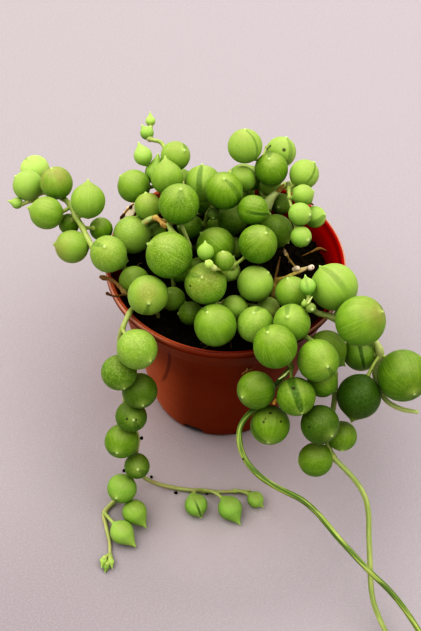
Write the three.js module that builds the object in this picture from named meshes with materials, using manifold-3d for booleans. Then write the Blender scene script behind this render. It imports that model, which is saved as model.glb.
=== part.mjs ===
// A string of pearls in a small plastic nursery pot: round water-storing leaves on thin stems.
// Millimetres, +Z up. The origin is the middle of the pot's underside, on the table.
import * as THREE from 'three';
import { mergeVertices } from 'three/addons/utils/BufferGeometryUtils.js';
import Module from 'manifold-3d';

const wasm = await Module();
wasm.setup();

// Pot, a 5.5 cm nursery pot with a rolled lip
const RIM_RADIUS = 27.5;
const POT_HEIGHT = 46;
const BASE_RADIUS = 16.8;
const WALL = 0.9;
const FLOOR = 1.4;
const BAND_HEIGHT = 38.4;
const BAND_STEP = 0.45;
const LIP_HEIGHT = 2.2;
const LIP_OUT = 0.8;
const NOTCHES = 6;
const NOTCH = { width: 5.2, height: 3.3, reach: 5, turn: 0.15 };

// Soil, filled to a little under the rim, with a hole for every root
const SOIL_TOP = 39.8;
const SOIL_RELIEF = 0.7;
const SOIL_RINGS = 5;
const ROOT_DEPTH = 6;
const GAP = 0.35;

// Growth
const STEM = 1.2;
const DRY_STEM = 1.0;
const PETIOLE = 0.9;
const STEM_STEP = 3.8;
const STEM_SIDES = 4;
const PETIOLE_SIDES = 3;
const ROUND_SIDES = 30;
const STEM_MARGIN = 0.25;

// The eye that the plant is seen by: every pearl lies on the line of sight through its place in a
// 421 by 631 picture, at its own height above the table.
const EYE = { distance: 300, elevation: 50, roll: 2.4, focal: 1320, target: [-3, -9.8, 37.8] };
const MIDDLE = { column: 210.5, row: 315.5 };

// Strands from root to tip. root is where the stem leaves the soil, in mm. stem holds the places
// that it passes, as [column, row, height]. Each pearl has the column and row of its middle and,
// where it shows, of its tip, with its height above the table and its diameter in mm. joint is
// the place on the stem that its stalk comes from, where that isn't simply the nearest.
const STRANDS = {
  strand_left: {
    root: [-19, -2],
    stem: [[104, 254, 50.5], [94, 247, 52.5], [85, 230, 53], [75, 215, 53.5], [66, 200, 53.5],
      [50, 193, 52.5], [35, 190, 51.5], [24, 198, 51]],
    pearls: [
      { seen: [117, 262], height: 47.5, size: 5.0 },
      { seen: [108.5, 254], height: 56, size: 8.1, tip: [104, 246] },
      { seen: [101, 229], height: 49.5, size: 5.3, tip: [98, 217] },
      { seen: [88, 201], height: 57.5, size: 7.8, tip: [88, 178] },
      { seen: [72, 246.5], height: 51, size: 7.5, tip: [52, 244] },
      { seen: [69, 224], height: 49.5, size: 4.8 },
      { seen: [46.5, 213], height: 54.5, size: 7.5, tip: [26, 207] },
      { seen: [56.5, 183], height: 56.5, size: 7.5, tip: [51, 167] },
      { seen: [35, 170], height: 50, size: 7.0, tip: [28, 158] },
      { seen: [27, 187], height: 52.5, size: 7.0, tip: [13, 177] },
      { seen: [18, 201.5], height: 50.5, size: 2.6, tip: [8, 199] },
    ],
  },
  strand_back_left: {
    root: [-12.5, 10.5],
    stem: [[163, 196, 51.5], [160, 166, 55.5], [166, 143, 57], [154, 142, 57], [148, 136, 56.5],
      [150, 128, 56.5]],
    pearls: [
      { seen: [134, 186], height: 55.5, size: 7.5, tip: [119, 175] },
      { seen: [167, 178], height: 60, size: 7.4, tip: [165, 155] },
      { seen: [156, 173], height: 56, size: 5.2, tip: [158, 152] },
      { seen: [175.5, 156], height: 60, size: 6.8 },
      { seen: [143, 156], height: 59.5, size: 4.3, tip: [138, 141] },
      { seen: [147, 133], height: 57, size: 3.2, tip: [141, 124] },
      { seen: [150.5, 121], height: 56.5, size: 2.4, tip: [150, 111] },
    ],
  },
  strand_side_left: {
    root: [-14.5, 2],
    stem: [[166, 226, 48], [158, 220, 52], [152, 222, 52]],
    pearls: [
      { seen: [157, 233], height: 47.5, size: 4.4 },
      { seen: [131, 237], height: 50, size: 8.7 },
      { seen: [147.5, 207], height: 55.5, size: 6.2, tip: [145, 192] },
      { seen: [179, 204], height: 63, size: 9.0, tip: [181, 188] },
    ],
  },
  strand_middle: {
    root: [-4.5, 7.5],
    stem: [[205, 222, 48.5], [213, 204, 54.5]],
    pearls: [
      { seen: [192, 230], height: 48.5, size: 5.8 },
      { seen: [227, 222], height: 48.5, size: 6.8 },
      { seen: [213, 214], height: 54.5, size: 2.7 },
      { seen: [203, 184], height: 58, size: 8.5, tip: [202, 163] },
      { seen: [226, 192], height: 62, size: 8.4, tip: [226, 179] },
    ],
  },
  strand_back_right: {
    root: [6.5, 13],
    stem: [[261, 200, 48.5], [259, 178, 54.5], [262, 160, 58], [268, 148, 58.5]],
    pearls: [
      { seen: [265, 201], height: 52, size: 4.0 },
      { seen: [268, 186], height: 54, size: 5.0 },
      { seen: [252, 182], height: 52.5, size: 5.8, tip: [247, 172] },
      { seen: [243, 179], height: 59, size: 5.9 },
      { seen: [272.5, 169.5], height: 61, size: 7.6, tip: [270, 158] },
      { seen: [245, 146], height: 65, size: 7.8, tip: [245, 128] },
      { seen: [281, 152], height: 59, size: 7.1, tip: [287, 136] },
    ],
  },
  strand_upper_right: {
    root: [11.6, 17],
    stem: [[289, 190, 51], [288, 183, 56], [289, 190, 59], [290, 200, 59.5], [293, 212, 58.8],
      [297, 226, 57.5]],
    pearls: [
      { seen: [281, 204], height: 49.5, size: 5.0 },
      { seen: [303, 174], height: 61, size: 6.7, tip: [314, 161] },
      { seen: [303, 195], height: 61.5, size: 4.8, tip: [315, 191] },
      { seen: [300, 215], height: 61, size: 5.2, tip: [311, 216] },
      { seen: [315, 217], height: 57, size: 4.9, tip: [326, 214] },
      { seen: [301, 236], height: 58, size: 4.7, tip: [309, 240] },
    ],
  },
  strand_middle_right: {
    root: [7, 6],
    stem: [[264, 226, 48], [262, 214, 54.5]],
    pearls: [
      { seen: [276, 231], height: 50.5, size: 7.8 },
      { seen: [251, 209], height: 61, size: 6.8, tip: [270, 213] },
    ],
  },
  strand_centre: {
    root: [2.5, -0.5],
    stem: [[235, 262, 48], [230, 266, 54], [222, 267, 58.5], [212, 266, 61]],
    pearls: [
      { seen: [216, 248], height: 51.5, size: 8.8 },
      { seen: [258, 244], height: 58, size: 8.5, tip: [267, 232] },
      { seen: [231, 270], height: 51, size: 4.6, tip: [235, 254] },
      { seen: [224, 261], height: 60, size: 4.4 },
      { seen: [205.5, 252], height: 62, size: 3.6, tip: [205, 240] },
      { seen: [209, 264], height: 61.5, size: 1.9 },
    ],
  },
  strand_inner_left: {
    root: [-11.5, -5],
    stem: [[170, 262, 46], [172, 262, 51]],
    pearls: [
      { seen: [170, 256], height: 58, size: 10.1, tip: [147, 244] },
      { seen: [183, 271], height: 46, size: 5.0 },
    ],
  },
  strand_trailing: {
    root: [-15, -12.5],
    stem: [[140, 304, 46], [131, 312, 47.8], [124, 328, 46.5], [121, 343, 42.5], [126, 362, 39],
      [130, 381, 35], [129, 402, 29.5], [135, 425, 22.5], [139, 441, 18], [136, 457, 13.5],
      [129, 476, 8.5],
      [122, 495, 3], [113, 503, 0.8], [105, 511, 0.7], [106, 525, 0.7], [110, 545, 0.7],
      [110, 556, 0.8]],
    branch: [[131, 470, 10], [145, 478, 5], [155, 483, 2.2], [170, 487, 0.8], [190, 490, 0.7],
      [205, 491, 0.7], [220, 492, 0.7], [240, 491, 0.7], [250, 491, 0.8]],
    pearls: [
      { seen: [134, 283], height: 45.5, size: 7.0 },
      { seen: [148, 295], height: 52, size: 8.8, tip: [149, 304] },
      { seen: [136.5, 350], height: 46.5, size: 8.8, tip: [151, 363] },
      { seen: [120.5, 372.5], height: 39.5, size: 7.8, tip: [126, 390] },
      { seen: [138.5, 391], height: 33, size: 7.9, tip: [142, 407] },
      { seen: [131, 416.5], height: 26, size: 7.1 },
      { seen: [122, 440], height: 19.5, size: 7.8, tip: [117, 453] },
      { seen: [137, 466], height: 13, size: 5.9, tip: [138, 470] },
      { seen: [122, 488.5], height: 8, size: 6.8 },
      { seen: [134.5, 512], height: 4.0, size: 5.7, tip: [147, 529] },
      { seen: [122, 532], height: 2.9, size: 5.5, tip: [137, 548], joint: [106, 512, 0.7] },
      { seen: [103.5, 561], height: 1.6, size: 1.6, tip: [101.5, 569] },
      { seen: [110.5, 562], height: 1.2, size: 1.6, tip: [112, 570] },
      { seen: [106.5, 566], height: 1.0, size: 1.5, tip: [105, 573] },
      { seen: [196, 505], height: 2.7, size: 5.3, tip: [202, 519] },
      { seen: [230, 508], height: 2.9, size: 5.6, tip: [241, 526], joint: [207, 491, 0.7] },
      { seen: [255.5, 499.5], height: 2.2, size: 3.9, tip: [264, 508], joint: [236, 491, 0.7] },
    ],
  },
  strand_front: {
    root: [-2, -14],
    stem: [[214, 306, 46], [224, 304, 46.5], [236, 302, 46]],
    pearls: [
      { seen: [171, 300], height: 44.5, size: 5.6 },
      { seen: [190, 313], height: 44.2, size: 5.4 },
      { seen: [205, 284], height: 54, size: 9.2, tip: [201, 277] },
      { seen: [216, 329], height: 48.5, size: 9.3, tip: [207, 315] },
      { seen: [235, 308], height: 47, size: 6.0 },
      { seen: [253, 283], height: 51, size: 8.0 },
      { seen: [254, 325], height: 48.5, size: 8.0, tip: [252, 312] },
      { seen: [268, 309], height: 44, size: 5.4 },
    ],
  },
  strand_front_right: {
    root: [13, -14],
    stem: [[293, 308, 45.5], [301, 308, 50], [307, 303, 54.5]],
    pearls: [
      { seen: [292, 293], height: 51, size: 7.4, tip: [287, 277] },
      { seen: [292, 322.5], height: 52, size: 8.1, tip: [287, 316] },
      { seen: [275, 346.5], height: 53.5, size: 9.3, tip: [267, 331] },
      { seen: [307.5, 286.5], height: 57, size: 3.7, tip: [305, 274] },
      { seen: [311, 308], height: 56, size: 2.2 },
      { seen: [304.5, 304.5], height: 55, size: 1.6, tip: [304, 299] },
    ],
  },
  strand_right: {
    root: [18.8, -7.6],
    stem: [[316, 312, 47.5], [326, 317, 48.3], [336, 318, 48], [350, 331, 45.5], [366, 336, 44.5],
      [376, 342, 43.8], [381, 350, 42.8], [378, 360, 41], [375, 372, 39], [379, 387, 36.5],
      [387, 401, 35.5], [399, 408, 35.5], [411, 412, 36], [417, 412, 36.8]],
    pearls: [
      { seen: [334, 287], height: 54, size: 10.3, tip: [319, 265] },
      { seen: [360.5, 321], height: 55, size: 10.7, tip: [384, 311] },
      { seen: [353, 352], height: 40, size: 8.0, tip: [357, 371] },
      { seen: [402, 376], height: 43, size: 11.2, tip: [414, 396], joint: [381, 349, 42.8] },
      { seen: [358, 395], height: 39, size: 9.7, tip: [350, 422], joint: [378, 360, 41] },
    ],
  },
  strand_long_right: {
    root: [12.5, -17],
    stem: [[302, 338, 47.6], [316, 348, 48], [325, 362, 44], [334, 375, 41], [336, 395, 36],
      [334, 412, 33], [330, 432, 30], [331, 450, 27.5], [340, 463, 25.5], [352, 475, 23.5],
      [362, 490, 21.5], [368, 505, 19.5], [369, 530, 16], [370, 560, 12], [372, 595, 7],
      [377, 612, 4.8], [385, 630, 2.8], [395, 648, 1.4], [407, 664, 0.7], [420, 678, 0.7]],
    pearls: [
      { seen: [328, 347.5], height: 42, size: 8.7, tip: [347, 364] },
      { seen: [316.5, 363], height: 48.5, size: 9.0, tip: [327, 370] },
      { seen: [325, 380], height: 40.5, size: 6.6, tip: [340, 390] },
      { seen: [320, 424.5], height: 36.5, size: 8.4, tip: [333, 437] },
      { seen: [342, 436], height: 29.5, size: 6.6, tip: [342, 452] },
      { seen: [315.5, 459.5], height: 26, size: 7.6 },
    ],
  },
  strand_long_left: {
    root: [7, -18.6],
    stem: [[268, 343, 47.8], [280, 356, 47.8], [289, 367, 43.8], [281, 377, 40.5],
      [272, 388, 38.6], [266, 399, 37.8], [256, 408, 37.2], [246, 416, 36.8],
      [240, 427, 36.2], [239, 440, 35], [243, 455, 33], [250, 466, 31.5], [262, 478, 30],
      [280, 489, 28], [297, 497, 26.5], [310, 506, 25], [325, 522, 23], [340, 540, 21],
      [355, 556, 19], [370, 572, 17], [385, 586, 14.5], [400, 603, 11.5], [412, 620, 9],
      [420, 633, 7.3], [430, 650, 4.8], [440, 668, 2.4], [450, 686, 0.9], [462, 704, 0.7]],
    pearls: [
      { seen: [297.5, 394], height: 43.5, size: 8.3, tip: [304, 412] },
      { seen: [256, 390], height: 42.5, size: 8.2, tip: [241, 398] },
      { seen: [270, 425], height: 34, size: 8.6, tip: [268, 445], joint: [257, 408, 37.2] },
    ],
  },
};

// Strands behind the plant, which the picture hides, in mm: azimuth is where the strand crosses
// the rim, reach is the height that its end hangs down to, and count is its number of pearls.
const HANGING_BEHIND = [
  { node: 'strand_behind_right', azimuth: 62, reach: 20, count: 5, seed: 5 },
  { node: 'strand_behind_middle', azimuth: 88, reach: 9, count: 7, seed: 11 },
  { node: 'strand_behind_left', azimuth: 118, reach: 22, count: 5, seed: 17 },
];
const HANGING = { root: 17.5, clear: 4.8, spread: 2.6, smallest: 5.4, largest: 8.2 };

// Strands that creep over the soil behind and under the others: radius is that of the arc which
// the stem follows round the pot, from one azimuth to another.
const CREEPING_BEHIND = [
  { node: 'strand_creeping_outer', radius: 19.5, from: 52, to: 148, count: 8, seed: 3 },
  { node: 'strand_creeping_inner', radius: 9.5, from: 50, to: 190, count: 5, seed: 9 },
];
const CREEPING = { stemHeight: 2, spread: 3.2, smallest: 5.2, largest: 7.6, lift: 2.5 };

// Old stems that have dried out
const DRY_STEMS = {
  dry_stem_left: {
    root: [-16.5, -9.3],
    stem: [[122, 298, 45.5], [114, 290, 47.3], [108, 281, 48], [104, 276, 48.2], [97, 279, 47.8]],
    branch: [[120, 298, 46.5], [114, 297, 47.6], [107, 294, 48]],
  },
  dry_stem_back: {
    root: [-11, 0],
    stem: [[172, 234, 48], [170, 227, 51], [163, 222, 53], [155, 217, 54], [148, 219, 54],
      [142, 222.5, 53]],
  },
  dry_stem_right: {
    root: [11, -5.6],
    stem: [[277, 281, 43.5], [288, 277, 45], [297, 272, 45.6], [304, 269, 45.6], [311, 267, 45.4]],
    branch: [[295, 272, 45.6], [291, 262, 46.4], [287, 255, 46.8], [283, 247, 46.4]],
  },
};

const COLOURS = {
  pot: 0x5e2117,
  soil: 0x2b1e17,
  leaf: 0x6f8f3a,
  dry: 0x6b4c34,
};
const potMaterial = new THREE.MeshStandardMaterial({ color: COLOURS.pot, roughness: 0.45 });
const soilMaterial = new THREE.MeshStandardMaterial({ color: COLOURS.soil, roughness: 1 });
const leafMaterial = new THREE.MeshStandardMaterial({ color: COLOURS.leaf, roughness: 0.4 });
const dryMaterial = new THREE.MeshStandardMaterial({ color: COLOURS.dry, roughness: 0.9 });

const plant = new THREE.Group();

function seededRandom(seed) {
  let state = seed;
  return () => {
    state = (state * 16807) % 2147483647;
    return state / 2147483647;
  };
}

// Lines of sight: back points from the target to the eye, side and rise along the picture
const elevation = THREE.MathUtils.degToRad(EYE.elevation);
const roll = THREE.MathUtils.degToRad(EYE.roll);
const back = new THREE.Vector3(0, -Math.cos(elevation), Math.sin(elevation));
const eye = new THREE.Vector3(...EYE.target).addScaledVector(back, EYE.distance);
const level = new THREE.Vector3(1, 0, 0);
const upright = new THREE.Vector3(0, Math.sin(elevation), Math.cos(elevation));
const side = level.clone().multiplyScalar(Math.cos(roll)).addScaledVector(upright, Math.sin(roll));
const rise = upright.clone().multiplyScalar(Math.cos(roll)).addScaledVector(level, -Math.sin(roll));

function sightLine(column, row) {
  return back.clone().multiplyScalar(-EYE.focal)
    .addScaledVector(side, column - MIDDLE.column)
    .addScaledVector(rise, MIDDLE.row - row)
    .normalize();
}

function seenAt(column, row, height) {
  const line = sightLine(column, row);
  return eye.clone().addScaledVector(line, (height - eye.z) / line.z);
}

// The tip of a pearl, from its middle: on the near side of the pearl inside its outline, and in
// the plane of the picture outside it
function tipFrom(centre, radius, column, row) {
  const line = sightLine(column, row);
  const along = centre.clone().sub(eye).dot(line);
  const nearest = eye.clone().addScaledVector(line, along).sub(centre);
  const inside = Math.sqrt(Math.max(0, radius ** 2 - nearest.lengthSq()));
  return nearest.addScaledVector(line, -inside);
}

// Pearls as balls that keep clear of each other, of the pot and of the soil. reach is how far the
// tip stands from the middle, in radii: a short point on a round pearl, more on a young leaf.
const TIP_REACH = 1.14;
const balls = [];
for (const [node, strand] of Object.entries(STRANDS)) {
  for (const pearl of strand.pearls) {
    const centre = seenAt(...pearl.seen, pearl.height);
    const radius = pearl.size / 2;
    const tip = pearl.tip && tipFrom(centre, radius * TIP_REACH, ...pearl.tip);
    const reach = Math.max(TIP_REACH, tip ? tip.length() / radius : 0);
    const joint = pearl.joint && seenAt(...pearl.joint);
    balls.push({ node, centre, radius, reach, joint, way: tip?.normalize() });
  }
}

const wallAt = (height) => BASE_RADIUS + (RIM_RADIUS - LIP_OUT - BASE_RADIUS) * height / POT_HEIGHT;

const unseenStems = {};
for (const { node, azimuth, reach, count, seed } of HANGING_BEHIND) {
  const random = seededRandom(seed);
  const angle = THREE.MathUtils.degToRad(azimuth);
  const out = new THREE.Vector3(Math.cos(angle), Math.sin(angle), 0);
  const across = new THREE.Vector3(-out.y, out.x, 0);
  const place = (radius, aside, height) => out.clone().multiplyScalar(radius)
    .addScaledVector(across, aside)
    .setZ(height);
  const path = [
    place(HANGING.root, 0, SOIL_TOP + 4),
    place(RIM_RADIUS - 3, 0, POT_HEIGHT + 1.2),
    place(RIM_RADIUS + 0.8, 0, POT_HEIGHT + 0.6),
  ];
  for (let k = 0; k < count; k += 1) {
    const fall = (k + 0.5) / count;
    const height = POT_HEIGHT - 1 - (POT_HEIGHT - 1 - reach) * fall;
    const turn = (k % 2 ? 1 : -1) * HANGING.spread * (0.8 + 0.4 * random());
    const size = HANGING.largest - (HANGING.largest - HANGING.smallest) * fall * random();
    const stemOut = wallAt(height) + 2 + 1.2 * fall;
    path.push(place(stemOut, -turn * 0.3, height));
    const centre = place(stemOut + HANGING.clear * 0.5, turn, height - 1.5);
    balls.push({ node, centre, radius: size / 2, reach: TIP_REACH });
  }
  unseenStems[node] = { root: place(HANGING.root, 0, 0), path };
}
for (const { node, radius, from, to, count, seed } of CREEPING_BEHIND) {
  const random = seededRandom(seed);
  const place = (share, out, height) => {
    const angle = THREE.MathUtils.degToRad(from + (to - from) * share);
    return new THREE.Vector3(out * Math.cos(angle), out * Math.sin(angle), height);
  };
  const path = [];
  for (let k = 0; k < count; k += 1) {
    const share = (k + 1) / count;
    const turn = (k % 2 ? 1 : -1) * CREEPING.spread;
    const size = CREEPING.smallest + (CREEPING.largest - CREEPING.smallest) * random();
    const height = SOIL_TOP + SOIL_RELIEF + GAP + size / 2 + CREEPING.lift * random();
    path.push(place(share, radius, SOIL_TOP + CREEPING.stemHeight));
    balls.push({ node, centre: place(share, radius + turn, height), radius: size / 2, reach: TIP_REACH });
  }
  unseenStems[node] = { root: place(0, radius, 0), path };
}

// Pushes a ball out of the pot's wall and rim, up from the soil and up from the table
function keepClearOfPot(centre, radius, margin = 0) {
  const across = Math.hypot(centre.x, centre.y);
  const top = { x: RIM_RADIUS - 1, y: POT_HEIGHT - 0.9 };
  const foot = { x: BASE_RADIUS - WALL / 2, y: 0 };
  const run = { x: top.x - foot.x, y: top.y - foot.y };
  const part = ((across - foot.x) * run.x + (centre.z - foot.y) * run.y) / (run.x ** 2 + run.y ** 2);
  const along = THREE.MathUtils.clamp(part, 0, 1);
  const off = { x: across - foot.x - along * run.x, y: centre.z - foot.y - along * run.y };
  const distance = Math.hypot(off.x, off.y);
  const missing = radius + 1 + GAP + margin - distance;
  if (missing > 0) {
    const scale = (across + off.x / distance * missing) / across;
    centre.set(centre.x * scale, centre.y * scale, centre.z + off.y / distance * missing);
  }
  const inside = Math.hypot(centre.x, centre.y) < RIM_RADIUS - 1 && centre.z > BAND_HEIGHT - 4;
  const lowest = inside ? SOIL_TOP + SOIL_RELIEF + GAP + radius : radius;
  centre.z = Math.max(centre.z, lowest);
}

const ROOT_TOP = SOIL_TOP + SOIL_RELIEF + 0.6;
const RISE = 3.5;
const allRoots = Object.entries({ ...STRANDS, ...DRY_STEMS, ...unseenStems })
  .map(([node, { root }]) => {
    const [x, y] = Array.isArray(root) ? root : [root.x, root.y];
    return { node, x, y };
  });

// Pushes a pearl off the roots of other strands
function keepClearOfRoots(ball) {
  for (const { node, x, y } of allRoots) {
    if (node === ball.node) continue;
    const height = Math.min(ball.centre.z, ROOT_TOP + RISE);
    const off = ball.centre.clone().sub(new THREE.Vector3(x, y, height));
    const missing = ball.radius + STEM / 2 + GAP - off.length();
    if (missing > 0) ball.centre.add(off.setLength(missing));
  }
}

const SETTLING_ROUNDS = 80;
for (let round = 0; round < SETTLING_ROUNDS; round += 1) {
  const moves = balls.map(() => new THREE.Vector3());
  for (let i = 0; i < balls.length; i += 1) {
    for (let j = i + 1; j < balls.length; j += 1) {
      const gap = balls[i].node === balls[j].node ? 0 : GAP;
      const between = balls[j].centre.clone().sub(balls[i].centre);
      const missing = balls[i].radius + balls[j].radius + gap - between.length();
      if (missing > 0) {
        between.setLength(missing * 0.5);
        moves[i].sub(between);
        moves[j].add(between);
      }
    }
  }
  balls.forEach((ball, i) => {
    ball.centre.addScaledVector(moves[i], 0.6);
    keepClearOfRoots(ball);
    keepClearOfPot(ball.centre, ball.radius);
  });
}

// A stem from its root through the places given, bent clear of what it meets: each round shares
// a bend with its neighbours and lets a little of it go back
const STEM_ROUNDS = 60;
const SHARE = 0.5;
const RETURN = 0.97;
const laid = [];

function stemPath(node, start, places, thickness) {
  const curve = new THREE.CatmullRomCurve3([start.at(-1), ...places], false, 'centripetal');
  const count = Math.max(4, Math.round(curve.getLength() / STEM_STEP));
  const path = [...start.slice(0, -1), ...curve.getSpacedPoints(count)];
  const home = path.map((point) => point.clone());
  const clear = thickness / 2 + GAP;
  const obstacles = [
    ...balls.map((ball) => ({
      point: ball.centre,
      reach: ball.radius + (ball.node === node ? 0 : clear + STEM_MARGIN),
    })),
    ...laid.filter((other) => other.node !== node).map((other) => ({
      point: other.point,
      reach: other.radius + clear + 2 * STEM_MARGIN,
    })),
  ];
  for (let round = 0; round < STEM_ROUNDS; round += 1) {
    const bends = path.map((point, k) => point.clone().sub(home[k]));
    for (let k = start.length; k < path.length; k += 1) {
      const next = bends[k + 1] ?? bends[k];
      const shared = bends[k - 1].clone().add(next).multiplyScalar(0.5);
      path[k].copy(home[k]).add(bends[k].clone().lerp(shared, SHARE).multiplyScalar(RETURN));
      const push = new THREE.Vector3();
      for (const { point, reach } of obstacles) {
        const off = path[k].clone().sub(point);
        const missing = reach - off.length();
        if (missing > 0) push.add(off.setLength(missing));
      }
      path[k].add(push);
      keepClearOfPot(path[k], thickness / 2, STEM_MARGIN);
    }
  }
  return path;
}

function layDown(node, path, thickness) {
  const fine = new THREE.CatmullRomCurve3(path, false, 'centripetal');
  const count = Math.ceil(fine.getLength() / 1);
  for (const point of fine.getSpacedPoints(count)) {
    laid.push({ node, point, radius: thickness / 2 });
  }
}

// Closed bodies
function solidOf(geometry) {
  geometry.deleteAttribute('normal');
  geometry.deleteAttribute('uv');
  const merged = mergeVertices(geometry, 1e-4);
  const index = merged.getIndex().array;
  const corners = [];
  for (let k = 0; k < index.length; k += 3) {
    const [a, b, c] = [index[k], index[k + 1], index[k + 2]];
    if (a !== b && b !== c && a !== c) corners.push(a, b, c);
  }
  const vertProperties = new Float32Array(merged.getAttribute('position').array);
  const build = (list) => new wasm.Manifold(new wasm.Mesh({
    numProp: 3, vertProperties, triVerts: new Uint32Array(list),
  }));
  const solid = build(corners);
  return solid.volume() > 0 ? solid : build(corners.reverse());
}

function geometryOf(solid) {
  const mesh = solid.getMesh();
  const geometry = new THREE.BufferGeometry();
  geometry.setAttribute('position', new THREE.BufferAttribute(mesh.vertProperties, mesh.numProp));
  geometry.setIndex(new THREE.BufferAttribute(mesh.triVerts, 1));
  geometry.computeVertexNormals();
  return geometry;
}

function addNode(name, solid, material) {
  const mesh = new THREE.Mesh(geometryOf(solid), material);
  mesh.name = name;
  plant.add(mesh);
}

function tube(path, thickness, sides, steps) {
  const outline = new THREE.Shape();
  for (let k = 0; k < sides; k += 1) {
    const angle = 2 * Math.PI * k / sides;
    const x = thickness / 2 * Math.cos(angle);
    const y = thickness / 2 * Math.sin(angle);
    if (k === 0) outline.moveTo(x, y);
    else outline.lineTo(x, y);
  }
  outline.closePath();
  const extrudePath = new THREE.CatmullRomCurve3(path, false, 'centripetal');
  return solidOf(new THREE.ExtrudeGeometry(outline, { steps, extrudePath, curveSegments: 1 }));
}

// A pearl is a ball with a cone that touches it all round and ends in its tip. The tip is set
// along the pearl's way.
function pearlSolid(ball) {
  const around = ball.radius > 2 ? 7 : 5;
  const bands = ball.radius > 3.7 ? 5 : 4;
  const geometry = new THREE.SphereGeometry(1, around, bands);
  const position = geometry.getAttribute('position');
  const slope = Math.sqrt(ball.reach ** 2 - 1);
  for (let k = 0; k < position.count; k += 1) {
    const y = position.getY(k);
    const across = Math.hypot(position.getX(k), position.getZ(k));
    if (y > 1 / ball.reach) position.setY(k, ball.reach - slope * across);
  }
  geometry.scale(ball.radius, ball.radius, ball.radius);
  const turn = new THREE.Quaternion().setFromUnitVectors(new THREE.Vector3(0, 1, 0), ball.way);
  geometry.applyQuaternion(turn);
  geometry.translate(ball.centre.x, ball.centre.y, ball.centre.z);
  return solidOf(geometry);
}

// Whether the straight run from a stem to a pearl meets anything of another strand
function isClear(node, from, to, thickness) {
  const run = new THREE.Line3(from, to);
  const nearest = new THREE.Vector3();
  const meets = (point, radius) => {
    run.closestPointToPoint(point, true, nearest);
    return nearest.distanceTo(point) < radius + thickness / 2 + 0.2;
  };
  return !balls.some((ball) => ball.node !== node && meets(ball.centre, ball.radius))
    && !laid.some((other) => other.node !== node && meets(other.point, other.radius));
}

const roots = [];

function rootOf(x, y, thickness) {
  roots.push({ x, y, radius: thickness / 2 + GAP });
  return [
    new THREE.Vector3(x, y, SOIL_TOP - ROOT_DEPTH),
    new THREE.Vector3(x, y, SOIL_TOP - ROOT_DEPTH / 2),
    new THREE.Vector3(x, y, ROOT_TOP),
  ];
}

// The paths of a stem and of its branch, which leaves the stem at the point nearest to its joint
function grownPaths(node, { root, stem, branch }, thickness) {
  const places = stem.map((place) => seenAt(...place));
  const main = stemPath(node, rootOf(...root, thickness), places, thickness);
  layDown(node, main, thickness);
  if (!branch) return [main];
  const [joint, ...rest] = branch.map((place) => seenAt(...place));
  const nearest = main.reduce((a, b) => (a.distanceTo(joint) < b.distanceTo(joint) ? a : b));
  const offshoot = stemPath(node, [nearest.clone()], rest, thickness);
  layDown(node, offshoot, thickness);
  return [main, offshoot];
}

const tubesOf = (paths, thickness) => paths
  .map((path) => tube(path, thickness, STEM_SIDES, path.length - 1));
const joined = (pieces) => pieces.reduce((whole, piece) => whole.add(piece));

const stems = {};
for (const [node, strand] of Object.entries(STRANDS)) {
  stems[node] = grownPaths(node, strand, STEM);
}
for (const [node, { root, path }] of Object.entries(unseenStems)) {
  stems[node] = [stemPath(node, rootOf(root.x, root.y, STEM), path, STEM)];
  layDown(node, stems[node][0], STEM);
}
for (const [node, dryStem] of Object.entries(DRY_STEMS)) {
  const paths = grownPaths(node, dryStem, DRY_STEM);
  addNode(node, joined(tubesOf(paths, DRY_STEM)), dryMaterial);
}

for (const [node, paths] of Object.entries(stems)) {
  const pieces = tubesOf(paths, STEM);
  for (const ball of balls.filter((one) => one.node === node)) {
    const inner = ball.centre;
    const wanted = ball.joint ?? inner;
    const starts = paths.flatMap((path) => path.slice(2))
      .sort((a, b) => a.distanceTo(wanted) - b.distanceTo(wanted));
    const start = starts.find((point) => isClear(node, point, inner, PETIOLE)) ?? starts[0];
    const away = inner.clone().sub(start).normalize();
    ball.way ??= away.clone();
    const end = start.clone().lerp(inner, 0.98);
    pieces.push(tube([start.clone().addScaledVector(away, -0.2), end], PETIOLE, PETIOLE_SIDES, 1));
    pieces.push(pearlSolid(ball));
  }
  addNode(node, joined(pieces), leafMaterial);
}

// Pot: a lathed shell, thin walled, with a wider band under the rolled lip
const outerProfile = [
  [0, 0],
  [BASE_RADIUS - 0.6, 0],
  [BASE_RADIUS, 0.8],
  [wallAt(BAND_HEIGHT) - BAND_STEP, BAND_HEIGHT],
  [wallAt(BAND_HEIGHT), BAND_HEIGHT + 0.5],
  [RIM_RADIUS - LIP_OUT, POT_HEIGHT - LIP_HEIGHT],
  [RIM_RADIUS - 0.15, POT_HEIGHT - LIP_HEIGHT + 0.4],
  [RIM_RADIUS, POT_HEIGHT - LIP_HEIGHT / 2],
  [RIM_RADIUS - 0.3, POT_HEIGHT - 0.2],
  [RIM_RADIUS - 0.8, POT_HEIGHT],
  [RIM_RADIUS - 1.3, POT_HEIGHT - 0.3],
];
const innerProfile = [
  [wallAt(POT_HEIGHT - LIP_HEIGHT) - WALL, POT_HEIGHT - LIP_HEIGHT],
  [wallAt(BAND_HEIGHT) - BAND_STEP - WALL, BAND_HEIGHT],
  [BASE_RADIUS - WALL + 0.2, FLOOR],
  [0, FLOOR],
];
const profile = [...outerProfile, ...innerProfile].map(([x, y]) => new THREE.Vector2(x, y));
const shell = solidOf(new THREE.LatheGeometry(profile, ROUND_SIDES).rotateX(Math.PI / 2));
let pot = shell;
for (let k = 0; k < NOTCHES; k += 1) {
  const notch = new THREE.BoxGeometry(NOTCH.reach, NOTCH.width, NOTCH.height);
  notch.translate(BASE_RADIUS - 0.4, 0, NOTCH.height / 2 - 0.3);
  notch.rotateZ(2 * Math.PI * (k + NOTCH.turn) / NOTCHES);
  pot = pot.subtract(solidOf(notch));
}
addNode('pot', pot, potMaterial);

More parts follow.
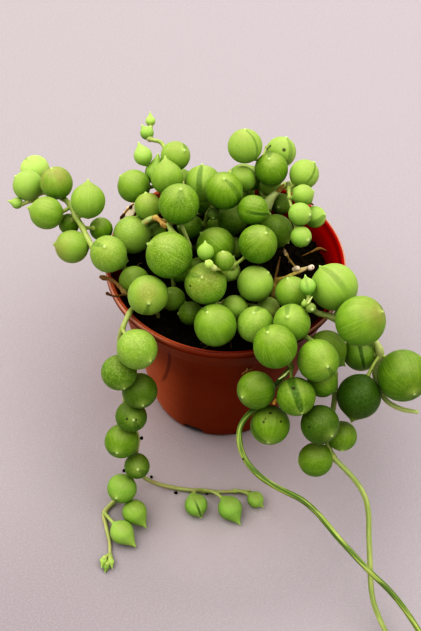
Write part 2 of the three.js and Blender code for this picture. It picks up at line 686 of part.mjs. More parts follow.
// Soil: fills the pot inside, with lumps on top
function soilHeight(x, y) {
  const waves = Math.sin(0.42 * x + 0.9) * Math.cos(0.37 * y - 0.4) + Math.sin(0.8 * x - 0.7 * y);
  return SOIL_TOP + SOIL_RELIEF * 0.5 * waves;
}

function innerWallAt(height) {
  return wallAt(height) - BAND_STEP - WALL - GAP - 0.1;
}

const soilProfile = [
  [0, FLOOR + GAP],
  [BASE_RADIUS - WALL - GAP, FLOOR + GAP],
  [innerWallAt(SOIL_TOP - 2), SOIL_TOP - 2],
];
const soilEdge = innerWallAt(SOIL_TOP + 1);
for (let k = 0; k <= SOIL_RINGS; k += 1) {
  soilProfile.push([soilEdge * (1 - k / SOIL_RINGS), SOIL_TOP]);
}
const soilPoints = soilProfile.map(([x, y]) => new THREE.Vector2(x, y));
const soilGeometry = new THREE.LatheGeometry(soilPoints, ROUND_SIDES).rotateX(Math.PI / 2);
const soilPosition = soilGeometry.getAttribute('position');
for (let k = 0; k < soilPosition.count; k += 1) {
  if (soilPosition.getZ(k) > SOIL_TOP - 1) {
    soilPosition.setZ(k, soilHeight(soilPosition.getX(k), soilPosition.getY(k)));
  }
}
let soil = solidOf(soilGeometry);
for (const { x, y, radius } of roots) {
  const depth = ROOT_DEPTH + GAP + 4;
  const hole = new THREE.CylinderGeometry(radius * 1.2, radius * 1.2, depth, 6);
  hole.rotateX(Math.PI / 2);
  hole.translate(x, y, SOIL_TOP - ROOT_DEPTH - GAP + depth / 2);
  soil = soil.subtract(solidOf(hole));
}
addNode('soil', soil, soilMaterial);

export default plant;
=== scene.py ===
# %% [markdown]
# # A string of pearls in its nursery pot
#
# This lesson dresses a plain CAD model of a potted trailing succulent. The plant is a heap of
# round leaves, each with a small point, on thin stems that leave the soil, climb over the rim
# and trail down to the table. The CAD nodes fix where everything stands. Here every node gets a
# finer surface and a finish, and the scene gets a floor, soft light and a camera.
#
# Lengths are worked out in millimetres and put into the meshes in metres.

# %% Load the frame
import math

import bpy
import numpy as np
from mathutils import Matrix, Vector


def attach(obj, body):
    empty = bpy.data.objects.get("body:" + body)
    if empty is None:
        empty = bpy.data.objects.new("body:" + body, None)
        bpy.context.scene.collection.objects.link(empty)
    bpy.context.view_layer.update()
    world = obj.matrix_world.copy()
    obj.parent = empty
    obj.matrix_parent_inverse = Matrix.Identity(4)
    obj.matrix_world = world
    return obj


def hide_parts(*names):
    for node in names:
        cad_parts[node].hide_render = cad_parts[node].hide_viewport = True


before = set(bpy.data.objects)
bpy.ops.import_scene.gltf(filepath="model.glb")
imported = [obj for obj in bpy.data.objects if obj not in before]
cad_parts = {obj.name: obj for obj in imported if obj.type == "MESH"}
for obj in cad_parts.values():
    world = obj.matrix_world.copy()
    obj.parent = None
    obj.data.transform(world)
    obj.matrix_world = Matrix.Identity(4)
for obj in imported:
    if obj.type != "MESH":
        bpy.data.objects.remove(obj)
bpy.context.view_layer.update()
METRES = 0.001
print("nodes:", ", ".join(sorted(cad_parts)))

# %% [markdown]
# ## The eye
#
# A pearl is placed by the line of sight that it lies on and by its height above the table. A line
# of sight is named by the column and row of the picture that it goes through. The same eye then
# becomes the camera, so what is placed on a line is seen on it. A camera set up by hand, by
# turning and nudging, would have to be matched again after each change.

# %% The eye
EYE_DISTANCE = 300
EYE_ELEVATION = math.radians(50)
EYE_ROLL = math.radians(2.4)
EYE_FOCAL = 1320
EYE_TARGET = np.array([-3, -9.8, 37.8])
MIDDLE_COLUMN, MIDDLE_ROW = 210.5, 315.5
PICTURE_HEIGHT = 631
SENSOR = 36
NEAREST_SEEN = 0.01

back = np.array([0, -math.cos(EYE_ELEVATION), math.sin(EYE_ELEVATION)])
level = np.array([1.0, 0, 0])
upright = np.array([0, math.sin(EYE_ELEVATION), math.cos(EYE_ELEVATION)])
side = math.cos(EYE_ROLL) * level + math.sin(EYE_ROLL) * upright
rise = math.cos(EYE_ROLL) * upright - math.sin(EYE_ROLL) * level
eye = EYE_TARGET + EYE_DISTANCE * back


def length_of(vectors):
    """Length of each vector, kept as a last axis of one: the root of the sum of squares."""
    return np.linalg.norm(vectors, axis=-1, keepdims=True)


def unit(vectors):
    """Each vector divided by its length."""
    return vectors / length_of(vectors)


def sight_lines(places):
    """Directions from the eye through [column, row] places: focal length times forward, plus
    columns right of the middle times side, plus rows above the middle times rise."""
    places = np.asarray(places, float)
    return unit(-EYE_FOCAL * back + (places[..., :1] - MIDDLE_COLUMN) * side
                + (MIDDLE_ROW - places[..., 1:2]) * rise)


def seen_at(places):
    """Points on the lines of sight of [column, row, height] places: the eye plus as much of the
    line as brings it down to the height."""
    places = np.asarray(places, float)
    lines = sight_lines(places)
    return eye + lines * (places[..., 2:3] - eye[2]) / lines[..., 2:3]


def facing(centre, radius, place):
    """The point of a ball that is seen at a [column, row] place, from the ball's middle. The foot
    of the perpendicular on the line of sight is taken, and moved towards the eye by the root of
    radius squared less its own square, or not at all where the line misses the ball."""
    line = sight_lines(place)
    nearest = eye + line * np.dot(centre - eye, line) - centre
    return nearest - line * math.sqrt(max(0, radius ** 2 - np.dot(nearest, nearest)))


camera_data = bpy.data.cameras.new("camera")
camera_data.sensor_width = SENSOR
camera_data.lens = SENSOR * EYE_FOCAL / PICTURE_HEIGHT
camera_data.clip_start = NEAREST_SEEN
camera = bpy.data.objects.new("camera", camera_data)
camera_turn = Matrix(np.stack([side, rise, back]).T).to_4x4()
camera.matrix_world = Matrix.Translation(eye * METRES) @ camera_turn
bpy.context.scene.collection.objects.link(camera)
bpy.context.scene.camera = camera
print("lens in mm:", round(camera_data.lens, 2))

# %% [markdown]
# ## Where the strands run
#
# Each strand is written down as a grower would see it: where its stem leaves the soil, the
# places that the stem passes, and its pearls. A place is a column and a row of the picture with a
# height in mm. A pearl has its middle, its size and, where it shows, the column and row of its
# point. The looks that single leaves have, such as the dark slit that lets light in or the scars,
# are named with them.

# %% Sizes
RIM_RADIUS = 27.5
POT_HEIGHT = 46
BASE_RADIUS = 16.8
WALL = 0.9
FLOOR = 1.4
BAND_HEIGHT = 38.4
BAND_STEP = 0.45
LIP_HEIGHT = 2.2
LIP_OUT = 0.8
SOIL_TOP = 39.8
SOIL_RELIEF = 0.7
ROOT_DEPTH = 6
GAP = 0.35
STEM = 1.2
DRY_STEM = 1.0
PETIOLE = 0.9
STEM_STEP = 3.8
STEM_MARGIN = 0.25
TIP_REACH = 1.14
ROOT_TOP = SOIL_TOP + SOIL_RELIEF + 0.6


def wall_at(height):
    """The pot's outer radius at a height, on a straight line from the base to the lip."""
    return BASE_RADIUS + (RIM_RADIUS - LIP_OUT - BASE_RADIUS) * height / POT_HEIGHT


# %% Strands
def pearl(column, row, height, size, tip=None, **looks):
    """One round leaf: the place of its middle, its size in mm, its point's place and its looks."""
    return dict(seen=(column, row, height), size=size, tip=tip, **looks)


# A leaf's tone is partly its own green, and partly painted light where it is below 0 and painted shade
# where it is above 0.
STRANDS = {
    "left": dict(
        root=(-19, -2),
        stem=[(104, 254, 50.5), (94, 247, 52.5), (85, 230, 53), (75, 215, 53.5), (66, 200, 53.5),
              (50, 193, 52.5), (35, 190, 51.5), (24, 198, 51)],
        pearls=[
            pearl(117, 262, 47.5, 5.0, tone=-0.35),
            pearl(108.5, 254, 56, 8.1, tip=(104, 246), speckled=0.8, tone=-0.2),
            pearl(101, 229, 49.5, 5.3, tip=(98, 217), tone=0.05, scars=[(107, 218, 1)]),
            pearl(88, 201, 57.5, 7.8, tip=(88, 178), tone=-0.3),
            pearl(72, 246.5, 51, 7.5, tip=(52, 244), browned=0.45, tone=-0.35),
            pearl(69, 224, 49.5, 4.8),
            pearl(46.5, 213, 54.5, 7.5, tip=(26, 207), tone=-0.2),
            pearl(56.5, 183, 56.5, 7.5, tip=(51, 167), browned=0.7, tone=-0.2),
            pearl(35, 170, 50, 7.0, tip=(28, 158), young=0.9, tone=-0.9),
            pearl(27, 187, 52.5, 7.0, tip=(13, 177), young=0.5, tone=-0.35),
            pearl(18, 201.5, 50.5, 2.6, tip=(8, 199), young=1.0, tone=-0.25),
        ]),
    "back_left": dict(
        root=(-12.5, 10.5),
        stem=[(163, 196, 51.5), (160, 166, 55.5), (166, 143, 57), (154, 142, 57), (148, 136, 56.5),
              (150, 128, 56.5)],
        pearls=[
            pearl(134, 186, 55.5, 7.5, tip=(119, 175), tone=-0.2),
            pearl(167, 178, 60, 7.4, tip=(165, 155), tone=-0.25),
            pearl(156, 173, 56, 5.2, tip=(158, 152), young=0.5, tone=-0.25),
            pearl(175.5, 156, 60, 6.8, tone=-0.35),
            pearl(143, 156, 59.5, 4.3, tip=(138, 141), young=0.8, tone=-0.45),
            pearl(147, 133, 57, 3.2, tip=(141, 124), young=1.0, tone=-0.15),
            pearl(150.5, 121, 56.5, 2.4, tip=(150, 111), young=1.0, tone=-0.7),
        ]),
    "side_left": dict(
        root=(-14.5, 2),
        stem=[(166, 226, 48), (158, 220, 52), (152, 222, 52)],
        pearls=[
            pearl(157, 233, 47.5, 4.4),
            pearl(131, 237, 50, 8.7, speckled=0.9, tone=-0.4),
            pearl(147.5, 207, 55.5, 6.2, tip=(145, 192), browned=0.3, tone=-0.3),
            pearl(179, 204, 63, 9.0, tip=(181, 188), slit=(180, 212), slitted=0.35, slit_width=2.0,
                  slit_end=0.45, speckled=0.6),
        ]),
    "middle": dict(
        root=(-4.5, 7.5),
        stem=[(205, 222, 48.5), (213, 204, 54.5)],
        pearls=[
            pearl(192, 230, 48.5, 5.8),
            pearl(227, 222, 48.5, 6.8, tone=0.3),
            pearl(213, 214, 54.5, 2.7, tone=0.8),
            pearl(203, 184, 58, 8.5, tip=(202, 163), slit=(199, 182), slitted=0.7, tone=-0.3),
            pearl(226, 192, 62, 8.4, tip=(226, 179), slit=(238, 195), slitted=0.5, tone=0),
        ]),
    "back_right": dict(
        root=(6.5, 13),
        stem=[(261, 200, 48.5), (259, 178, 54.5), (262, 160, 58), (268, 148, 58.5)],
        pearls=[
            pearl(265, 201, 52, 4.0, tone=0.2),
            pearl(268, 186, 54, 5.0, tone=-0.5),
            pearl(252, 182, 52.5, 5.8, tip=(247, 172), tone=-0.2),
            pearl(243, 179, 59, 5.9, tone=-0.3),
            pearl(272.5, 169.5, 61, 7.6, tip=(270, 158), tone=0),
            pearl(245, 146, 65, 7.8, tip=(245, 128), slit=(257, 147), slitted=0.5,
                  slit_width=0.5, tone=-0.4),
            pearl(281, 152, 59, 7.1, tip=(287, 136), slit=(291, 150), slitted=0.4,
                  scars=[(284, 150, 1.5), (270, 146, 1.2), (267, 149, 1.2)], tone=-0.5),
        ]),
    "upper_right": dict(
        root=(11.6, 17),
        stem=[(289, 190, 51), (288, 183, 56), (289, 190, 59), (290, 200, 59.5), (293, 212, 58.8),
              (297, 226, 57.5)],
        pearls=[
            pearl(281, 204, 49.5, 5.0, tone=0.25),
            pearl(303, 174, 61, 6.7, tip=(314, 161), slit=(311, 178), slitted=0.6,
                  slit_width=0.5, tone=-0.45),
            pearl(303, 195, 61.5, 4.8, tip=(315, 191), young=0.4, tone=-0.35),
            pearl(300, 215, 61, 5.2, tip=(311, 216), young=0.6, tone=-0.2),
            pearl(315, 217, 57, 4.9, tip=(326, 214), slit=(317, 222), slitted=0.5, young=0.5, tone=-0.35),
            pearl(301, 236, 58, 4.7, tip=(309, 240), young=0.6, tone=-0.1),
        ]),
    "middle_right": dict(
        root=(7, 6),
        stem=[(264, 226, 48), (262, 214, 54.5)],
        pearls=[
            pearl(276, 231, 50.5, 7.8, tone=0.3),
            pearl(251, 209, 61, 6.8, tip=(270, 213), slit=(253, 213), slitted=1.0,
                  slit_width=0.5, tone=0.15),
        ]),
    "centre": dict(
        root=(2.5, -0.5),
        stem=[(235, 262, 48), (230, 266, 54), (222, 267, 58.5), (212, 266, 61)],
        pearls=[
            pearl(216, 248, 51.5, 8.8),
            pearl(258, 244, 58, 8.5, tip=(267, 232), tone=0.1),
            pearl(231, 270, 51, 4.6, tip=(235, 254), young=0.3, tone=-1.4),
            pearl(224, 261, 60, 4.4, young=0.2, tone=0.15),
            pearl(205.5, 252, 62, 3.6, tip=(205, 240), young=0.5, tone=-0.15),
            pearl(209, 264, 61.5, 1.9, young=1.0, tone=-0.9),
        ]),
    "inner_left": dict(
        root=(-11.5, -5),
        stem=[(170, 262, 46), (172, 262, 51)],
        pearls=[
            pearl(170, 256, 58, 10.1, tip=(147, 244), speckled=0.8),
            pearl(183, 271, 46, 5.0, tone=0),
        ]),
    "trailing": dict(
        root=(-15, -12.5),
        stem=[(140, 304, 46), (131, 312, 47.8), (124, 328, 46.5), (121, 343, 42.5),
              (126, 362, 39), (130, 381, 35), (129, 402, 29.5), (135, 425, 22.5),
              (139, 441, 18), (136, 457, 13.5), (129, 476, 8.5), (122, 495, 3),
              (113, 503, 0.8), (105, 511, 0.7), (106, 525, 0.7), (110, 545, 0.7),
              (110, 556, 0.8)],
        branch=[(131, 470, 10), (145, 478, 5), (155, 483, 2.2), (170, 487, 0.8),
                (190, 490, 0.7), (205, 491, 0.7), (220, 492, 0.7), (240, 491, 0.7),
                (250, 491, 0.8)],
        pearls=[
            pearl(134, 283, 45.5, 7.0, tone=-0.2),
            pearl(148, 295, 52, 8.8, tip=(149, 304), ringed=1.0, browned=0.2,
                  scars=[(149, 292, 1)], tone=-0.3),
            pearl(136.5, 350, 46.5, 8.8, tip=(151, 363), speckled=0.9, tone=-0.2),
            pearl(120.5, 372.5, 39.5, 7.8, tip=(126, 390), speckled=0.8, tone=0.3),
            pearl(138.5, 391, 33, 7.9, tip=(142, 407), tone=0.5),
            pearl(131, 416.5, 26, 7.1, scars=[(127, 419, 1), (136, 420, 1)], tone=0.45),
            pearl(122, 440, 19.5, 7.8, tip=(117, 453)),
            pearl(137, 466, 13, 5.9, tip=(138, 470), tone=0.4),
            pearl(122, 488.5, 8, 6.8, young=0.5, tone=0.05),
            pearl(134.5, 512, 4.0, 5.7, tip=(147, 529), young=0.3, tone=-0.2),
            pearl(122, 532, 2.9, 5.5, tip=(137, 548), joint=(106, 512, 0.7), young=0.6, tone=-0.25),
            pearl(103.5, 561, 1.6, 1.6, tip=(101.5, 569), tone=-0.6),
            pearl(110.5, 562, 1.2, 1.6, tip=(112, 570), tone=-0.6),
            pearl(106.5, 566, 1.0, 1.5, tip=(105, 573), tone=0.3),
            pearl(196, 505, 2.7, 5.3, tip=(202, 519), slit=(196, 503), slitted=1.0, slit_width=0.4,
                  young=0.8, tone=0),
            pearl(230, 508, 2.9, 5.6, tip=(241, 526), joint=(207, 491, 0.7), young=0.8, tone=0),
            pearl(255.5, 499.5, 2.2, 3.9, tip=(264, 508), joint=(236, 491, 0.7), young=0.7, tone=-0.15),
        ]),
    "front": dict(
        root=(-2, -14),
        stem=[(214, 306, 46), (224, 304, 46.5), (236, 302, 46)],
        pearls=[
            pearl(171, 300, 44.5, 5.6, tone=-0.1),
            pearl(190, 313, 44.2, 5.4, tone=0.3),
            pearl(205, 284, 54, 9.2, tip=(201, 277), browned=0.35, speckled=0.8,
                  scars=[(190, 286, 1)], tone=-0.1),
            pearl(216, 329, 48.5, 9.3, tip=(207, 315), tone=-0.1),
            pearl(235, 308, 47, 6.0, tone=-0.35),
            pearl(253, 283, 51, 8.0, tone=-0.45),
            pearl(254, 325, 48.5, 8.0, tip=(252, 312), speckled=0.8, tone=-0.25),
            pearl(268, 309, 44, 5.4, tone=-0.8),
        ]),
    "front_right": dict(
        root=(13, -14),
        stem=[(293, 308, 45.5), (301, 308, 50), (307, 303, 54.5)],
        pearls=[
            pearl(292, 293, 51, 7.4, tip=(287, 277), tone=-0.2),
            pearl(292, 322.5, 52, 8.1, tip=(287, 316), tone=-0.2),
            pearl(275, 346.5, 53.5, 9.3, tip=(267, 331)),
            pearl(307.5, 286.5, 57, 3.7, tip=(305, 274), slit=(308, 290), slitted=0.35, slit_width=0.5,
                  young=1.0, tone=0),
            pearl(311, 308, 56, 2.2, young=0.3, tone=0.6),
            pearl(304.5, 304.5, 55, 1.6, tip=(304, 299), young=1.0, tone=0.1),
        ]),
    "right": dict(
        root=(18.8, -7.6),
        stem=[(316, 312, 47.5), (326, 317, 48.3), (336, 318, 48), (350, 331, 45.5),
              (366, 336, 44.5), (376, 342, 43.8), (381, 350, 42.8), (378, 360, 41),
              (375, 372, 39), (379, 387, 36.5), (387, 401, 35.5), (399, 408, 35.5),
              (411, 412, 36), (417, 412, 36.8)],
        pearls=[
            pearl(334, 287, 54, 10.3, tip=(319, 265), slit=(344, 288), slitted=0.35, tone=-0.4),
            pearl(360.5, 321, 55, 10.7, tip=(384, 311), browned=0.35, tone=-0.1),
            pearl(353, 352, 40, 8.0, tip=(357, 371), slit=(361, 352), slitted=1.0,
                  slit_width=0.6, slit_end=0.9, blunt=True, young=0.3, tone=0),
            pearl(402, 376, 43, 11.2, tip=(414, 396), joint=(381, 349, 42.8), tone=0.25),
            pearl(358, 395, 39, 9.7, tip=(350, 422), joint=(378, 360, 41), tone=0.85),
        ]),
    "long_right": dict(
        root=(12.5, -17),
        stem=[(302, 338, 47.6), (316, 348, 48), (325, 362, 44), (334, 375, 41), (336, 395, 36),
              (334, 412, 33), (330, 432, 30), (331, 450, 27.5), (340, 463, 25.5),
              (352, 475, 23.5), (362, 490, 21.5), (368, 505, 19.5), (369, 530, 16),
              (370, 560, 12), (372, 595, 7), (377, 612, 4.8), (385, 630, 2.8), (395, 648, 1.4),
              (407, 664, 0.7), (420, 678, 0.7)],
        pearls=[
            pearl(328, 347.5, 42, 8.7, tip=(347, 364), tone=-0.1),
            pearl(316.5, 363, 48.5, 9.0, tip=(327, 370), tone=-0.1),
            pearl(325, 380, 40.5, 6.6, tip=(340, 390)),
            pearl(320, 424.5, 36.5, 8.4, tip=(333, 437), tone=0.65, speckled=0.2, scars=[(309, 427, 1)]),
            pearl(342, 436, 29.5, 6.6, tip=(342, 452), tone=0.1),
            pearl(315.5, 459.5, 26, 7.6, blunt=True, tone=0.2),
        ]),
    "long_left": dict(
        root=(7, -18.6),
        stem=[(268, 343, 47.8), (280, 356, 47.8), (289, 367, 43.8), (281, 377, 40.5),
              (272, 388, 38.6), (266, 399, 37.8), (256, 408, 37.2), (246, 416, 36.8),
              (240, 427, 36.2), (239, 440, 35), (243, 455, 33), (250, 466, 31.5),
              (262, 478, 30), (280, 489, 28), (297, 497, 26.5), (310, 506, 25),
              (325, 522, 23), (340, 540, 21), (355, 556, 19), (370, 572, 17),
              (385, 586, 14.5), (400, 603, 11.5), (412, 620, 9), (420, 633, 7.3),
              (430, 650, 4.8), (440, 668, 2.4), (450, 686, 0.9), (462, 704, 0.7)],
        pearls=[
            pearl(297.5, 394, 43.5, 8.3, tip=(304, 412), slit=(296, 394), slitted=0.9,
                  slit_width=1.2, slit_end=0.95, scars=[(293.5, 388, 1.5)]),
            pearl(256, 390, 42.5, 8.2, tip=(241, 398), tone=0.25),
            pearl(270, 425, 34, 8.6, tip=(268, 445), joint=(257, 408, 37.2), slit=(252, 417),
                  slitted=0.5, blunt=True, tone=0,
                  scars=[(263.5, 422, 1), (281, 421.5, 1), (270.5, 413, 1.2)]),
        ]),
}
DRY_STEMS = {
    "dry_stem_left": dict(
        root=(-16.5, -9.3),
        stem=[(122, 298, 45.5), (114, 290, 47.3), (108, 281, 48), (104, 276, 48.2),
              (97, 279, 47.8)],
        branch=[(120, 298, 46.5), (114, 297, 47.6), (107, 294, 48)]),
    "dry_stem_back": dict(
        root=(-11, 0),
        stem=[(172, 234, 48), (170, 227, 51), (163, 222, 53), (155, 217, 54), (148, 219, 54),
              (142, 222.5, 53)]),
    "dry_stem_right": dict(
        root=(11, -5.6),
        stem=[(277, 281, 43.5), (288, 277, 45), (297, 272, 45.6), (304, 269, 45.6),
              (311, 267, 45.4)],
        branch=[(295, 272, 45.6), (291, 262, 46.4), (287, 255, 46.8), (283, 247, 46.4)]),
}
pearls_in_sight = sum(len(data["pearls"]) for data in STRANDS.values())
print("strands in sight:", len(STRANDS), "with", pearls_in_sight, "pearls")

# %% [markdown]
# What the heap hides has to be guessed. Three strands hang down behind the pot and two creep
# over the soil. They are grown from a few numbers each: a rule with a seeded random choice
# gives the same plant each time, which drawing them by hand would only do with more work.

# %% Strands out of sight
HANGING = dict(root=17.5, clear=4.8, spread=2.6, smallest=5.4, largest=8.2, top=1, drop=1.5)
# How far in from the rim, and how high above it, a hanging stem crosses the wall.
RIM_CROSSING = [(3, 1.2), (-0.8, 0.6)]
ROOT_START = 4
OFF_WALL, OFF_WALL_MORE = 2, 1.2
STEM_SWING = 0.3
SIDE_LEAST, SIDE_MORE = 0.8, 0.4
HANGING_BEHIND = {
    "behind_right": dict(azimuth=62, reach=20, count=5, seed=5),
    "behind_middle": dict(azimuth=88, reach=9, count=7, seed=11),
    "behind_left": dict(azimuth=118, reach=22, count=5, seed=17),
}
CREEPING = dict(stem_height=2, spread=3.2, smallest=5.2, largest=7.6, lift=2.5)
CREEPING_BEHIND = {
    "creeping_outer": dict(radius=19.5, start=52, end=148, count=8, seed=3),
    "creeping_inner": dict(radius=9.5, start=50, end=190, count=5, seed=9),
}
SPREAD_FACTOR = 16807
SPREAD_LIMIT = 2147483647


def seeded_random(seed):
    """Random numbers from 0 to 1: the last whole number times a factor, less whole limits."""
    while True:
        seed = seed * SPREAD_FACTOR % SPREAD_LIMIT
        yield seed / SPREAD_LIMIT


def around_pot(azimuth, radius, aside, height):
    """A point at an azimuth in degrees and a radius, moved aside along the wall, at a height."""
    angle = math.radians(azimuth)
    out = np.array([math.cos(angle), math.sin(angle), 0])
    across = np.array([-out[1], out[0], 0])
    return radius * out + aside * across + np.array([0, 0, height])


class Leaf:
    """One pearl as a ball: its strand, middle, radius, reach of the point in radii, the way that
    the point looks, the place on the stem that its petiole is wanted at, and its looks."""

    def __init__(self, strand, centre, size, tip=None, joint=None, **looks):
        self.strand = strand
        self.joint = None if joint is None else seen_at(joint)
        self.centre = np.asarray(centre, float)
        self.radius = size / 2
        self.way = None
        self.reach = TIP_REACH
        if tip is not None:
            out = facing(self.centre, self.radius * TIP_REACH, tip)
            self.reach = max(TIP_REACH, np.linalg.norm(out) / self.radius)
            self.way = unit(out)
        self.looks = looks


leaves = []
for strand, data in STRANDS.items():
    for one in data["pearls"]:
        looks = {key: value for key, value in one.items() if key not in ("seen", "size", "tip")}
        leaves.append(Leaf(strand, seen_at(one["seen"]), one["size"], one["tip"], **looks))

unseen_stems = {}
for strand, h in HANGING_BEHIND.items():
    rnd = seeded_random(h["seed"])
    path = [around_pot(h["azimuth"], HANGING["root"], 0, SOIL_TOP + ROOT_START)]
    path += [around_pot(h["azimuth"], RIM_RADIUS - inward, 0, POT_HEIGHT + upward)
             for inward, upward in RIM_CROSSING]
    top = POT_HEIGHT - HANGING["top"]
    for k in range(h["count"]):
        fall = (k + 0.5) / h["count"]
        height = top - (top - h["reach"]) * fall
        turn = (1 if k % 2 else -1) * HANGING["spread"] * (SIDE_LEAST + SIDE_MORE * next(rnd))
        size = HANGING["largest"] - (HANGING["largest"] - HANGING["smallest"]) * fall * next(rnd)
        stem_out = wall_at(height) + OFF_WALL + OFF_WALL_MORE * fall
        path.append(around_pot(h["azimuth"], stem_out, -turn * STEM_SWING, height))
        centre = around_pot(h["azimuth"], stem_out + HANGING["clear"] / 2, turn,
                            height - HANGING["drop"])
        leaves.append(Leaf(strand, centre, size))
    unseen_stems[strand] = dict(root=around_pot(h["azimuth"], HANGING["root"], 0, 0)[:2], path=path)
for strand, c in CREEPING_BEHIND.items():
    rnd = seeded_random(c["seed"])
    path = []
    for k in range(c["count"]):
        azimuth = c["start"] + (c["end"] - c["start"]) * (k + 1) / c["count"]
        turn = (1 if k % 2 else -1) * CREEPING["spread"]
        size = CREEPING["smallest"] + (CREEPING["largest"] - CREEPING["smallest"]) * next(rnd)
        height = SOIL_TOP + SOIL_RELIEF + GAP + size / 2 + CREEPING["lift"] * next(rnd)
        path.append(around_pot(azimuth, c["radius"], 0, SOIL_TOP + CREEPING["stem_height"]))
        leaves.append(Leaf(strand, around_pot(azimuth, c["radius"] + turn, 0, height), size))
    unseen_stems[strand] = dict(root=around_pot(c["start"], c["radius"], 0, 0)[:2], path=path)
print("pearls in all:", len(leaves))

# %% [markdown]
# ## Pearls that rest on each other
#
# Real leaves touch but don't cut into one another. The balls are let settle: in each round every
# pair that is too close moves apart by a part of what is missing, and every ball is pushed off
# the roots, the pot and the soil. A physics simulation would do this too, but these few lines
# give the same places each time and leave the pearls near the lines that they are seen on.

# %% Clear of the pot and the roots
WALL_TOP = (RIM_RADIUS - 1, POT_HEIGHT - 0.9)
WALL_FOOT = (BASE_RADIUS - WALL / 2, 0)
WALL_CLEAR = 1
SOIL_ZONE = BAND_HEIGHT - 4
ROOT_RISE = 3.5


def clear_of_pot(points, radius, margin=0.0):
    """Points at least radius from the wall's line, from the soil inside the pot and from the
    table outside it. The line's nearest place is found in the plane of radius and height."""
    points = points.copy()
    across = np.hypot(points[:, 0], points[:, 1])
    run = (WALL_TOP[0] - WALL_FOOT[0], WALL_TOP[1] - WALL_FOOT[1])
    part = ((across - WALL_FOOT[0]) * run[0] + (points[:, 2] - WALL_FOOT[1]) * run[1])
    part = np.clip(part / (run[0] ** 2 + run[1] ** 2), 0, 1)
    off_out = across - WALL_FOOT[0] - part * run[0]
    off_up = points[:, 2] - WALL_FOOT[1] - part * run[1]
    distance = np.hypot(off_out, off_up)
    missing = np.maximum(radius + WALL_CLEAR + GAP + margin - distance, 0)
    points[:, :2] *= ((across + off_out / distance * missing) / across)[:, None]
    points[:, 2] += off_up / distance * missing
    inside = (np.hypot(points[:, 0], points[:, 1]) < WALL_TOP[0]) & (points[:, 2] > SOIL_ZONE)
    lowest = np.where(inside, SOIL_TOP + SOIL_RELIEF + GAP + radius, radius)
    points[:, 2] = np.maximum(points[:, 2], lowest)
    return points


all_roots = [(name, *data["root"]) for group in (STRANDS, DRY_STEMS, unseen_stems)
             for name, data in group.items()]
strand_of = np.array([leaf.strand for leaf in leaves])
centres = np.array([leaf.centre for leaf in leaves])
radii = np.array([leaf.radius for leaf in leaves])


def clear_of_roots(points):
    """Pearls pushed off the roots of other strands, one root after the other."""
    for strand, x, y in all_roots:
        foot = np.stack([np.full(len(points), x), np.full(len(points), y),
                         np.minimum(points[:, 2], ROOT_TOP + ROOT_RISE)], axis=1)
        off = points - foot
        distance = length_of(off)[:, 0]
        missing = np.maximum(radii + STEM / 2 + GAP - distance, 0) * (strand_of != strand)
        points = points + off / distance[:, None] * missing[:, None]
    return points


# %% Let the pearls settle
SETTLING_ROUNDS = 80
SETTLING_STEP = 0.6
same_strand = strand_of[:, None] == strand_of[None, :]
touching = radii[:, None] + radii[None, :] + np.where(same_strand, 0, GAP)
np.fill_diagonal(touching, 0)
for _ in range(SETTLING_ROUNDS):
    between = centres[:, None] - centres[None, :]
    distance = np.linalg.norm(between, axis=-1) + np.eye(len(leaves))
    missing = np.maximum(touching - distance, 0)
    push = (between / distance[..., None] * missing[..., None] * 0.5).sum(axis=1)
    centres = clear_of_pot(clear_of_roots(centres + SETTLING_STEP * push), radii)
moved = np.linalg.norm(centres - np.array([leaf.centre for leaf in leaves]), axis=1)
for leaf, centre in zip(leaves, centres):
    leaf.centre = centre
print("pearls moved by at most", round(moved.max(), 2), "mm")

# %% [markdown]
# ## Stems that find their way
#
# A stem is a smooth curve through its places. Where it meets a pearl or another stem it is bent
# aside, and each round shares the bend with the neighbouring points, so that it stays a curve.
# Bending it by hand would have to be done again whenever a pearl moves.

# %% Smooth curves
CURVE_SAMPLES = 200
CENTRIPETAL = 0.25


def curve_at(points, place):
    """Points of a smooth curve through all its points, where place runs from 0 to the number of
    spans. Each span between two points is a cubic: its end slopes come from the points before
    and after, with knot distances that are the root of the distances between the points."""
    points = np.asarray(points, float)
    ends = np.vstack([2 * points[0] - points[1], points, 2 * points[-1] - points[-2]])
    span = np.minimum(place.astype(int), len(points) - 2)
    part = (place - span)[:, None]
    a, b, c, d = (ends[span + k] for k in range(4))
    first, middle, last = (np.sum((q - p) ** 2, axis=1, keepdims=True) ** CENTRIPETAL
                           for p, q in ((a, b), (b, c), (c, d)))
    leave = ((b - a) / first - (c - a) / (first + middle) + (c - b) / middle) * middle
    arrive = ((c - b) / middle - (d - b) / (middle + last) + (d - c) / last) * middle
    square = 3 * (c - b) - 2 * leave - arrive
    cube = 2 * (b - c) + leave + arrive
    return b + part * (leave + part * (square + part * cube))


def curve_table(points):
    """The length of the curve up to each of its samples: the running sum of the steps."""
    samples = curve_at(points, np.linspace(0, len(points) - 1, CURVE_SAMPLES + 1))
    steps = np.linalg.norm(np.diff(samples, axis=0), axis=1)
    return np.concatenate([[0], np.cumsum(steps)])


def spaced_points(points, count):
    """count + 1 points at equal distances along the curve through the points given."""
    table = curve_table(points)
    wanted = np.interp(np.linspace(0, table[-1], count + 1), table, np.linspace(0, 1, len(table)))
    return curve_at(points, wanted * (len(points) - 1))


# %% Bend the stems clear
STEM_ROUNDS = 60
FEWEST_SPANS = 4
SHARE = 0.5
RETURN = 0.97
laid_points = np.zeros((0, 3))
laid_radii = np.zeros(0)
laid_strands = np.zeros(0, dtype=object)


